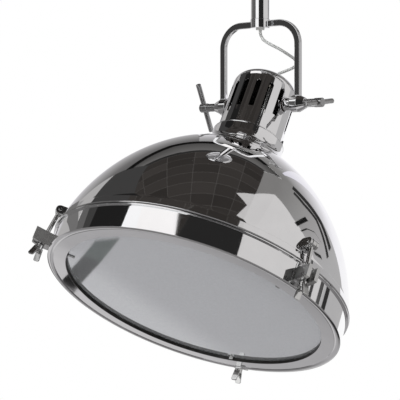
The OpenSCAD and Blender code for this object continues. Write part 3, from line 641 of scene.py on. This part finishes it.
bezel = {
    "top": -0.3068, "flange": 0.2175, "flangeThick": 0.0018, "band": 0.2145, "wall": 0.0025, "edge": 0.0005,
    "bead": (0.2105, -0.3325), "beadRadius": 0.010, "beadHalf": 23.2, "beadEdge": 0.0003,
    "groove": 0.0007, "grooveTop": -0.3405, "grooveEdge": 0.0002,
    "lip": 0.1875, "lipFace": -0.341265, "wallTop": -0.337, "lipThick": 0.002,
    "seatReach": 0.0005, "seatFacing": -0.6,
}
beadArc = arcPoints(bezel["bead"], bezel["beadRadius"], -90 + bezel["beadHalf"], -90 - bezel["beadHalf"], 12)
grooveOut = beadArc[-1][0]
grooveIn = grooveOut - bezel["groove"]
bezelPiece = turnedShape("bezel", [
    (bezel["band"] - bezel["wall"], bezel["top"]), (bezel["flange"], bezel["top"], bezel["edge"]),
    (bezel["flange"], bezel["top"] - bezel["flangeThick"], bezel["edge"]),
    (bezel["band"], bezel["top"] - bezel["flangeThick"], bezel["edge"]),
    (bezel["band"], beadArc[0][1], bezel["beadEdge"]), *beadArc,
    (grooveOut, bezel["grooveTop"]), (grooveIn, bezel["grooveTop"]),
    (grooveIn, bezel["lipFace"], bezel["grooveEdge"]),
    (bezel["lip"], bezel["lipFace"], bezel["edge"]), (bezel["lip"], bezel["wallTop"]),
    (bezel["lip"] + bezel["lipThick"], bezel["wallTop"]),
    (bezel["lip"] + bezel["lipThick"], bezel["lipFace"] + bezel["lipThick"]),
    (bezel["band"] - bezel["wall"], bezel["lipFace"] + bezel["lipThick"]),
], steps=dome["steps"])
dress(bezelPiece, chrome, "lamp_head", "chrome", "bezel")


# the seat that faces the glass is painted near black, as painted shade on the inner wall round the glass
def isSeat(face):
    outward = Vector((face.center.x, face.center.y, 0))
    facesIn = face.normal.dot(outward) < bezel["seatFacing"] * outward.length
    return facesIn and outward.length < bezel["lip"] + bezel["seatReach"]


refinish(bezelPiece, seatPaintedShade, isSeat)
placeAt(bezelPiece, headPlace)
print("head made")


# pivots: a boss each side of the cap, and a clamp screw with a cross bar
boss = {
    "out": 0.0561, "radius": 0.010, "flange": 0.013, "flangeIn": 0.0399, "flangeOut": 0.0439,
    "bore": 0.0041, "edge": 0.0007,
}
handle = {
    "tip": 0.0429, "tipEdge": 0.0006, "screw": 0.004, "neckIn": 0.0799, "neck": 0.0062,
    "knobIn": 0.0953, "knob": 0.007, "end": 0.1089, "edge": 0.0010,
    "barX": 0.1021, "barRadius": 0.004, "barLength": 0.080, "barEnd": 0.0013,
    "barTurns": {"Left": 27, "Right": -83},
}
for side, place in ((-1, "Left"), (1, "Right")):
    low = place.lower()
    bossPiece = turnedShape("pivotBoss" + place, [
        (boss["bore"], boss["flangeIn"]), (boss["flange"], boss["flangeIn"]),
        (boss["flange"], boss["flangeOut"]), (boss["radius"], boss["flangeOut"]),
        (boss["radius"], boss["out"], boss["edge"]), (boss["bore"], boss["out"]),
    ], steps=72)
    dress(placeAt(alongX(bossPiece, side), headPlace), chrome, "lamp_head", "chrome", "pivot_boss_" + low)
    screwPiece = turnedShape("clampScrew" + place, [
        (0, handle["tip"]), (handle["screw"], handle["tip"], handle["tipEdge"]),
        (handle["screw"], handle["neckIn"]), (handle["neck"], handle["neckIn"], handle["edge"]),
        (handle["neck"], handle["knobIn"]), (handle["knob"], handle["knobIn"], handle["edge"]),
        (handle["knob"], handle["end"], handle["edge"]), (0, handle["end"]),
    ], steps=64, closed=False)
    placeAt(alongX(screwPiece, side), pivotPlace)
    dress(screwPiece, satinSteel, low + "_handle", "satin_steel", "clamp_screw_" + low)
    barOutline = rodOutline(handle["barRadius"], handle["barLength"] / 2, handle["barEnd"])
    barPiece = turnedShape("clampBar" + place, barOutline, steps=48, closed=False)
    barTurn = Matrix.Rotation(math.radians(handle["barTurns"][place]), 4, "X")
    placeAt(barPiece, pivotPlace @ Matrix.Translation((side * handle["barX"], 0, 0)) @ barTurn)
    dress(barPiece, satinSteel, low + "_handle", "satin_steel", "clamp_bar_" + low)
print("pivots made")


# three swing-bolt clamps: clevis on the dome, lug on the bezel, eye bolt and wing nut
clamp = {
    "places": {"left": 221.7, "right": 341.7, "rear": 101.7},
    "pinRadius": 0.219878, "pinHeight": -0.2783, "lean": math.radians(7.5),
}
pinPlace = Matrix.Translation((clamp["pinRadius"], 0, clamp["pinHeight"]))
boltLean = Matrix.Rotation(-clamp["lean"], 4, "Y")


def clampPlace(name):
    return headPlace @ Matrix.Rotation(math.radians(clamp["places"][name]), 4, "Z")


def boltPlace(name):
    return clampPlace(name) @ pinPlace @ boltLean


clevis = {
    "earRadius": 0.0064, "earThick": 0.004, "earGap": 0.0036, "root": 0.0137, "web": 0.00735,
    "edge": 0.0006, "cut": 0.1, "domeGap": 0.00005,
}
fork = pulledShape("clevis", [
    *arcPoints((0, 0), clevis["earRadius"], -90, 90, 18),
    (-clevis["root"], clevis["earRadius"]), (-clevis["root"], -clevis["earRadius"]),
], 2 * (clevis["earGap"] + clevis["earThick"]))
clearSelection()
bpy.ops.mesh.primitive_cube_add(size=1, location=(clevis["cut"] / 2 - clevis["web"], 0, 0))
forkGap = bpy.context.object
forkGap.scale = (clevis["cut"], 2 * clevis["earGap"], clevis["cut"])
bpy.ops.object.transform_apply(location=True, rotation=True, scale=True)
combine(fork, forkGap, "DIFFERENCE")
placeAt(fork, pinPlace)
domeSolid = turnedShape("domeSolid", [
    *arcPoints(dome["centre"], dome["radius"] + clevis["domeGap"], footAngle, rimAngle, 56),
    (dome["rim"], dome["skirt"]), (0, dome["skirt"]), (0, dome["foot"][1]),
], steps=dome["steps"])
combine(fork, domeSolid, "DIFFERENCE")
softenEdges(fork, clevis["edge"])

# the lug's block starts inside the band, and is trimmed to the band and to its reach
lug = {
    "end": 0.0585, "height": 0.0195, "width": 0.020, "inner": -0.012, "outer": 0.024, "startAngle": -102.5,
    "slot": 0.008, "slotDepth": 0.08, "slotRun": 0.05, "edge": 0.0007,
    "band": 0.21455, "reach": 0.241, "trimHeight": 0.12, "trimMiddle": -0.32,
}
lugEndAngle = math.degrees(math.atan2(-math.sqrt(lug["end"] ** 2 - lug["outer"] ** 2), lug["outer"]))
lugTop = -lug["end"] + lug["height"]
block = pulledShape("lug", [
    *arcPoints((0, 0), lug["end"], lug["startAngle"], lugEndAngle, 14),
    (lug["outer"], lugTop), (lug["inner"], lugTop),
], lug["width"])
lugSlot = addCylinder(lug["slot"] / 2, lug["slotDepth"], 40, location=(0, 0, -lug["end"]))
stretchCutter(lugSlot, lambda place: place.x > 1e-5, (lug["slotRun"], 0, 0))
bpy.ops.object.transform_apply(location=True, rotation=True, scale=True)
combine(block, lugSlot, "DIFFERENCE")
placeAt(block, pinPlace @ boltLean)
for radius, operation in ((lug["band"], "DIFFERENCE"), (lug["reach"], "INTERSECT")):
    trim = addCylinder(radius, lug["trimHeight"], 288, location=(0, 0, lug["trimMiddle"]))
    combine(block, trim, operation)
softenEdges(block, lug["edge"])

bolt = {
    "radius": 0.0032, "length": 0.0711, "eye": 0.00675, "eyeWidth": 0.0066, "pinHole": 0.00258,
    "holeLength": 0.03, "edge": 0.0007,
    "threadTop": -0.036, "pitch": 0.00125, "threadDepth": 0.00045, "crest": 0.3, "valley": 0.6,
}
threads = []
z = bolt["threadTop"]
while z > -bolt["length"] + 2 * bolt["pitch"]:
    threads += [
        (bolt["radius"], z), (bolt["radius"], z - bolt["pitch"] * bolt["crest"]),
        (bolt["radius"] - bolt["threadDepth"], z - bolt["pitch"] * bolt["valley"]),
    ]
    z -= bolt["pitch"]
shank = turnedShape("eyeBolt", [
    (0, 0), (bolt["radius"], 0), *threads, (bolt["radius"], z),
    (bolt["radius"], -bolt["length"], bolt["edge"]), (0, -bolt["length"]),
], steps=40, closed=False)
halfEye = bolt["eyeWidth"] / 2
eye = turnedShape("boltEye", [
    (bolt["pinHole"], -halfEye), (bolt["eye"], -halfEye, bolt["edge"]),
    (bolt["eye"], halfEye, bolt["edge"]), (bolt["pinHole"], halfEye),
], steps=56)
acrossBolt = Matrix.Rotation(math.pi / 2, 4, "X")
placeAt(eye, acrossBolt)
combine(shank, eye, "UNION")
pinHole = addCylinder(bolt["pinHole"], bolt["holeLength"], 40, rotation=(math.pi / 2, 0, 0))
combine(shank, pinHole, "DIFFERENCE")
smoothShade(shank)

nut = {
    "top": 0.0591, "radius": 0.006, "height": 0.008, "bore": 0.00328, "boreLength": 0.08, "edge": 0.0008,
    "wingLength": 0.018, "wingWidth": 0.009, "wingThick": 0.0026, "wingCorner": 0.0025, "wingRoot": 0.0015,
    "wingEdge": 0.0005, "splay": math.radians(18), "turns": {"left": -30, "right": 80, "rear": 90},
}
nutPiece = turnedShape("wingNut", [
    (nut["bore"], 0), (nut["radius"], 0, nut["edge"]),
    (nut["radius"], -nut["height"], nut["edge"]), (nut["bore"], -nut["height"]),
], steps=56)
halfWidth = nut["wingWidth"] / 2
for side in (-1, 1):
    wing = pulledShape("wing", [
        (-halfWidth, 0), (halfWidth, 0), (halfWidth, -nut["wingLength"], nut["wingCorner"]),
        (-halfWidth, -nut["wingLength"], nut["wingCorner"]),
    ], nut["wingThick"], arcSteps=6)
    softenEdges(wing, nut["wingEdge"])
    wingFoot = Matrix.Translation((0, side * (nut["radius"] - nut["wingRoot"]), -nut["height"] / 2))
    placeAt(wing, wingFoot @ Matrix.Rotation(side * nut["splay"], 4, "X"))
    combine(nutPiece, wing, "UNION")
combine(nutPiece, addCylinder(nut["bore"], nut["boreLength"], 40), "DIFFERENCE")
smoothShade(nutPiece)

pin = {"radius": 0.0025, "half": 0.0086, "edge": 0.0008}
pinPieces = []
for name in clamp["places"]:
    nutTurn = Matrix.Rotation(math.radians(nut["turns"][name]), 4, "Z")
    nutPlace = boltPlace(name) @ Matrix.Translation((0, 0, -nut["top"])) @ nutTurn
    for model, label, place, steel, body, node in (
        (fork, "clevis", clampPlace(name), brightSteel, "lamp_head", "clevis_"),
        (block, "lug", clampPlace(name), castSteel, "lamp_head", "lug_"),
        (shank, "eyeBolt", boltPlace(name), brightSteel, name + "_bolt", "eye_bolt_"),
        (nutPiece, "wingNut", nutPlace, brightSteel, name + "_nut", "wing_nut_"),
    ):
        piece = placeAt(copyOf(model, label + name.capitalize()), place)
        dress(piece, steel, body, "satin_steel", node + name)
    pinOutline = rodOutline(pin["radius"], pin["half"], pin["edge"])
    rod = turnedShape("clevisPins", pinOutline, steps=32, closed=False)
    pinPieces.append(placeAt(rod, boltPlace(name) @ acrossBolt))
for done in (fork, block, shank, nutPiece):
    bpy.data.objects.remove(done)
dress(joinPieces(pinPieces), brightSteel, "lamp_head", "satin_steel", "clevis_pins")
print("clamps made")


# finishes on the nodes that keep their own shape
nodeFinishes = {
    "ceiling_plate": zincSteel, "ring_grub_screw": zincSteel, "stem_screws": zincSteel,
    "arm_screws": zincSteel, "cap_screws": zincSteel, "holder_plate": zincSteel,
    "stem_cable": cablePlastic, "inner_lead": cablePlastic,
    "cable_bush": whitePlastic, "terminal_block": whitePlastic,
    "rim_gasket": blackRubber, "glass_gasket": blackRubber,
    "cable_gland": nickel, "gland_nut": nickel,
    "glass": frostedGlass, "glass_clips": satinSteel, "pivot_washers": fibre,
    "lamp_holder": porcelain, "bulb_cap": brass, "bulb_glass": opalGlass,
}
for nodeName, finish in nodeFinishes.items():
    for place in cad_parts[nodeName].material_slots:
        place.material = finish
print("finishes on", len(nodeFinishes), "nodes")


# studio: pale floor far below, white surroundings, and panels that only reflections show
studio = {"floor": -2.3, "floorSize": 9, "floorGrain": 3, "middle": (0, -0.1, -0.45)}
clearSelection()
bpy.ops.mesh.primitive_plane_add(size=studio["floorSize"], location=(0, 0, studio["floor"]))
floor = bpy.context.object
floor.name = "floor"
floorFinish, nodes, links, shader = newFinish("floorFinish", Roughness=0.7)
soft = noiseValue(nodes, links, objectPoints(nodes, links), studio["floorGrain"])
links.new(shades(nodes, links, soft, (0.80, 0.79, 0.78), (0.84, 0.83, 0.82)), shader.inputs["Base Color"])
floor.data.materials.append(floorFinish)


# a panel of the studio that only reflections show: corners are (towards the camera, to its right, up),
# low left, low right, top left, top right, and its tones run from the bottom up
toCamera = Vector((math.sin(view["turn"]), -math.cos(view["turn"]), 0))
toRight = Vector((math.cos(view["turn"]), math.sin(view["turn"]), 0))


def studioPanel(name, corners, tones, panes=None):
    clearSelection()
    bpy.ops.mesh.primitive_plane_add(size=2)
    panel = bpy.context.object
    panel.name = name
    for vertex, (near, across, up) in zip(panel.data.vertices, corners):
        vertex.co = Vector(studio["middle"]) + toCamera * near + toRight * across + Vector((0, 0, up))
    cloth = bpy.data.materials.new(name + "Cloth")
    cloth.use_nodes = True
    nodes, links = cloth.node_tree.nodes, cloth.node_tree.links
    nodes.clear()
    glow = nodes.new("ShaderNodeEmission")
    output = nodes.new("ShaderNodeOutputMaterial")
    links.new(glow.outputs["Emission"], output.inputs["Surface"])
    coords = nodes.new("ShaderNodeTexCoord")
    if panes:
        grid = nodes.new("ShaderNodeTexBrick")
        grid.offset = 0
        grid.inputs["Color1"].default_value = (*tones[0][1], 1)
        grid.inputs["Color2"].default_value = (*tones[1][1], 1)
        grid.inputs["Mortar"].default_value = (*panes["line"], 1)
        grid.inputs["Scale"].default_value = 1
        grid.inputs["Brick Width"].default_value = panes["width"]
        grid.inputs["Row Height"].default_value = panes["height"]
        grid.inputs["Mortar Size"].default_value = panes["lineWidth"]
        links.new(coords.outputs["UV"], grid.inputs["Vector"])
        links.new(grid.outputs["Color"], glow.inputs["Color"])
    else:
        apart = nodes.new("ShaderNodeSeparateXYZ")
        ramp = nodes.new("ShaderNodeValToRGB")
        for i, (position, tone) in enumerate(tones):
            stop = ramp.color_ramp.elements[i] if i < 2 else ramp.color_ramp.elements.new(position)
            stop.position = position
            stop.color = (*tone, 1)
        links.new(coords.outputs["UV"], apart.inputs["Vector"])
        links.new(apart.outputs["Y"], ramp.inputs["Fac"])
        links.new(ramp.outputs["Color"], glow.inputs["Color"])
    panel.data.materials.append(cloth)
    panel.visible_camera = False
    panel.visible_diffuse = False
    panel.visible_shadow = False


# corners of an upright panel, from its two ends
def upright(nearA, acrossA, nearB, acrossB, low, high):
    return [(nearA, acrossA, low), (nearB, acrossB, low), (nearA, acrossA, high), (nearB, acrossB, high)]


# corners of a panel on a wall behind the lamp, each (to the right, up)
def rearWall(near, *places):
    return [(near, across, up) for across, up in places]


# corners of a level panel, each (towards the camera, to the right)
def level(up, *places):
    return [(near, across, up) for near, across in places]


def even(tone):
    return [(0, (tone, tone * 0.98, tone * 0.97)), (1, (tone, tone * 0.98, tone * 0.97))]


# the room round the lamp, as its polished metal shows it
room = {
    "top": 7.4, "rear": -5.4, "left": -5.0, "front": 5.4, "ceilingRight": 4.7,
    "floor": -1.75, "floorMarks": -1.74, "lines": 4.4,
}
ceilingPanes = {"line": (0.085, 0.080, 0.076), "width": 0.165, "height": 0.11, "lineWidth": 0.0016}
stripTones = [(0, (0.06, 0.058, 0.056)), (1, (0.14, 0.136, 0.133))]
glowTones = [(0, (0.95, 0.94, 0.97)), (1, (0.70, 0.68, 0.76))]
darkGreen = [(0, (0.050, 0.062, 0.056)), (1, (0.050, 0.062, 0.056))]

studioPanel(
    "ceilingPanel",
    level(
        room["top"], (room["front"], room["left"]), (room["front"], room["ceilingRight"]),
        (room["rear"], room["left"]), (room["rear"], room["ceilingRight"]),
    ),
    [(0, (0.028, 0.025, 0.023)), (1, (0.048, 0.043, 0.040))],
    ceilingPanes,
)
studioPanel("softboxTop", level(7.3, (0.85, -5.3), (5.6, -5.3), (0.85, -4.95), (5.6, -1.4)), even(1.0))
studioPanel("frontPanel", upright(room["front"], -2.13, room["front"], 4.36, -4.2, room["top"]), even(0.02))
studioPanel(
    "rightPanel",
    [(room["front"], 4.36, -3.6), (-0.75, 4.5, -3.6), (room["front"], 4.36, 3.34), (-1.5, 4.5, 3.34)],
    even(0.63),
)
studioPanel(
    "rightPanelUpper",
    [(room["front"], 4.36, 3.34), (-1.5, 4.5, 3.34), (room["front"], 4.36, 5.25), (-2.2, 4.5, 5.25)],
    even(0.63),
)
studioPanel(
    "rightPanelTop",
    [(5.36, 4.5, 5.25), (-2.25, 4.5, 5.25), (2.3, 4.5, room["top"]), (-1.12, 4.5, room["top"])],
    even(0.61),
)
studioPanel("rightPanelEdge", level(7.35, (2.3, 4.7), (0.6, 4.7), (2.14, 3.7), (0.6, 4.23)), even(0.56))
studioPanel("rightPanelPeak", level(7.35, (0.65, 4.7), (-1.12, 4.6), (0.6, 4.23), (-0.1, 2.99)), even(0.55))
studioPanel("rightCorner", upright(5.8, 4.6, 0, 4.6, 4.5, room["top"]), even(0.03))
studioPanel("greyPanel", upright(-0.5, 4.55, room["rear"], 4.55, -3.0, room["top"]), [
    (0, (0.48, 0.47, 0.47)), (1, (0.21, 0.205, 0.20)), (0.365, (0.435, 0.43, 0.43)),
    (0.47, (0.38, 0.37, 0.37)), (0.606, (0.29, 0.285, 0.28)), (0.71, (0.24, 0.235, 0.23)),
    (0.817, (0.21, 0.205, 0.20)),
])
studioPanel("greyCorner", upright(-1.12, 4.6, -2.4, 4.6, 5.0, room["top"]), even(0.21))
studioPanel("backPanelRight", upright(room["rear"], 4.55, room["rear"], -0.1, -1.0, 5.3), [
    (0, (1.0, 1.0, 1.0)), (1, (0.20, 0.195, 0.19)), (0.29, (0.92, 0.91, 0.94)),
    (0.35, (0.84, 0.83, 0.86)), (0.42, (0.72, 0.71, 0.73)), (0.49, (0.62, 0.61, 0.63)),
    (0.57, (0.52, 0.51, 0.52)), (0.64, (0.43, 0.42, 0.43)), (0.73, (0.35, 0.345, 0.345)),
    (0.83, (0.24, 0.235, 0.23)),
])
studioPanel("backPanelLeft", upright(room["rear"], -0.1, room["rear"], -3.1, -1.0, 5.3), [
    (0, (1.0, 1.0, 1.0)), (1, (0.10, 0.098, 0.096)), (0.16, (0.92, 0.91, 0.94)),
    (0.22, (0.72, 0.71, 0.73)), (0.284, (0.56, 0.55, 0.57)), (0.35, (0.48, 0.47, 0.48)),
    (0.413, (0.40, 0.39, 0.40)), (0.48, (0.355, 0.35, 0.35)), (0.556, (0.29, 0.285, 0.285)),
    (0.714, (0.17, 0.165, 0.165)),
])
studioPanel(
    "backStripLeft", rearWall(-5.35, (-3.1, 5.0), (-0.95, 4.0), (-3.1, 6.7), (-0.95, 6.7)), stripTones,
)
studioPanel(
    "backStripRight", rearWall(-5.35, (-0.95, 4.0), (4.5, 5.6), (-0.95, 6.8), (4.5, 7.0)), stripTones,
)
studioPanel("backTop", upright(-5.38, -3.1, -5.38, 4.5, 5.3, room["top"]), even(0.025))
studioPanel(
    "backRailLeft", rearWall(-5.3, (-3.1, 4.8), (-0.95, 3.7), (-3.1, 5.5), (-0.95, 4.35)), even(0.007),
)
studioPanel(
    "backRailRight", rearWall(-5.3, (-0.95, 3.7), (3.3, 4.99), (-0.95, 4.35), (3.3, 5.56)), even(0.007),
)
studioPanel("backGlow", rearWall(-5.33, (2.2, 0.6), (1.2, 0.6), (3.6, 4.05), (3.45, 4.05)), glowTones)
studioPanel(
    "leftPanelRear",
    [(room["rear"], -3.0, 3.9), (-1.7, -4.2, 2.25),
     (room["rear"], -3.0, room["top"]), (-1.7, -4.2, room["top"])],
    even(0.05),
)
studioPanel(
    "leftPanelMiddle",
    [(-1.7, -4.2, 2.25), (0.85, -5.0, 2.2), (-1.7, -4.2, room["top"]), (0.85, -5.0, room["top"])],
    even(0.014),
)
studioPanel(
    "leftLowRear",
    [(-5.42, -3.02, -4.0), (-2.92, -3.82, -4.0), (-5.42, -3.02, 4.2), (-2.92, -3.82, 3.0)],
    even(0.44),
)
studioPanel("leftLowMiddle", upright(-2.9, -3.84, 0.85, -5.04, -4.0, 3.0), even(0.12))
studioPanel("leftLowFront", upright(0.85, -5.0, 2.66, -5.0, -4.0, 2.8), even(0.12))
studioPanel("floorPanel", level(room["floor"], (4.0, -4.0), (4.0, 4.0), (-4.0, -4.0), (-4.0, 4.0)), [
    (0, (0.20, 0.195, 0.195)), (1, (0.10, 0.098, 0.098)), (0.635, (0.20, 0.195, 0.195)),
    (0.652, (0.30, 0.295, 0.298)), (0.668, (0.385, 0.378, 0.384)), (0.70, (0.40, 0.393, 0.399)),
    (0.71, (0.54, 0.53, 0.535)), (0.79, (0.58, 0.57, 0.57)), (0.84, (0.10, 0.098, 0.098)),
])


# dark lines on the right wall: points are (towards the camera, up), and the offset gives a line its width
def wallLine(name, points, offset, tone):
    for i, (start, end) in enumerate(zip(points, points[1:])):
        beside = [(p[0] + offset[0], p[1] + offset[1]) for p in (start, end)]
        corners = [(near, room["lines"], up) for near, up in (start, beside[0], end, beside[1])]
        studioPanel(name + str(i), corners, even(tone))


wallLine("farPost", [(-3.6, 1.1), (-4.35, 1.95), (-4.36, 2.66), (-4.4, 3.32), (-4.6, 4.11)], (-0.75, 0), 0.03)
wallLine("nearPost", [(-2.75, 1.0), (-3.3, 1.6), (-3.85, 2.23), (-3.7, 3.07), (-3.95, 3.93)], (-0.45, 0), 0.03)
wallLine("shelf", [(-1.3, 3.05), (-2.72, 2.76)], (0, -0.24), 0.012)
wallLine("lampArc", [(-1.3, 2.56), (-1.95, 2.42), (-2.6, 2.05), (-2.8, 1.57)], (-0.06, -0.09), 0.02)
wallLine("hook", [(-1.78, 1.82), (-1.47, 1.60)], (-0.2, 0), 0.02)
wallLine("stool", [(-1.5, 1.56), (-2.08, 1.25)], (0, -0.15), 0.02)
wallLine("lowPostA", [(-0.12, -1.0), (-0.12, 0.5)], (-0.2, 0), 0.05)
wallLine("lowPostB", [(-0.75, -1.0), (-0.75, 0.3)], (-0.3, 0), 0.08)
wallLine("lowPostC", [(-1.3, -1.0), (-1.3, 0.2)], (-0.4, 0), 0.03)

# marks on the floor, then small cards close to the crown, the lug and the arm
for name, places, tones in (
    ("floorPatch", ((-0.6, -0.45), (-0.6, 0.45), (-1.05, -0.45), (-1.05, 0.45)), even(0.03)),
    ("floorStrip", ((-1.61, -0.972), (-1.59, -0.905), (-1.52, -0.945), (-1.45, -0.865)), darkGreen),
    ("floorStripEnd", ((-1.775, -1.03), (-1.775, -0.968), (-1.61, -0.972), (-1.59, -0.905)), even(0.015)),
):
    studioPanel(name, level(room["floorMarks"], *places), tones)
studioPanel("crownCard", [
    (-0.0596, 0.0168, 0.2249), (-0.0400, 0.0521, 0.2303),
    (-0.0823, 0.0291, 0.2281), (-0.0682, 0.0560, 0.2333),
], even(1.05))
studioPanel("lugCard", [
    (0.1458, -0.2601, -0.0312), (0.1272, -0.2031, -0.0312),
    (0.1056, -0.2727, 0.0114), (0.0870, -0.2157, 0.0114),
], even(0.17))
studioPanel("armFlag", upright(1.5, -4.9, 2.65, -4.9, 0.3, 1.15), even(0.045))

# white surroundings, a little darker where they only light the part than where they are seen
worldLight = {"unseen": 0.6, "seen": 1.0}
world = bpy.data.worlds.new("studioWorld")
scene.world = world
world.use_nodes = True
nodes, links = world.node_tree.nodes, world.node_tree.links
background = nodes["Background"]
paths = nodes.new("ShaderNodeLightPath")
seen = paths.outputs["Is Camera Ray"]
for ray in ("Is Glossy Ray", "Is Transmission Ray"):
    either = nodes.new("ShaderNodeMath")
    either.operation = "MAXIMUM"
    links.new(seen, either.inputs[0])
    links.new(paths.outputs[ray], either.inputs[1])
    seen = either.outputs["Value"]
strength = nodes.new("ShaderNodeMapRange")
strength.inputs["To Min"].default_value = worldLight["unseen"]
strength.inputs["To Max"].default_value = worldLight["seen"]
links.new(seen, strength.inputs["Value"])
background.inputs["Color"].default_value = (1, 1, 1, 1)
links.new(strength.outputs["Result"], background.inputs["Strength"])

keyLight = {"place": (-1.4, -2.2, 1.2), "size": 1.6, "watts": 45}
clearSelection()
bpy.ops.object.light_add(type="AREA", location=keyLight["place"])
lamp = bpy.context.object
lamp.name = "softKey"
lamp.data.size = keyLight["size"]
lamp.data.energy = keyLight["watts"]
lamp.rotation_euler = (Vector(studio["middle"]) - lamp.location).to_track_quat("-Z", "Y").to_euler()
lamp.visible_glossy = False
print("studio set")
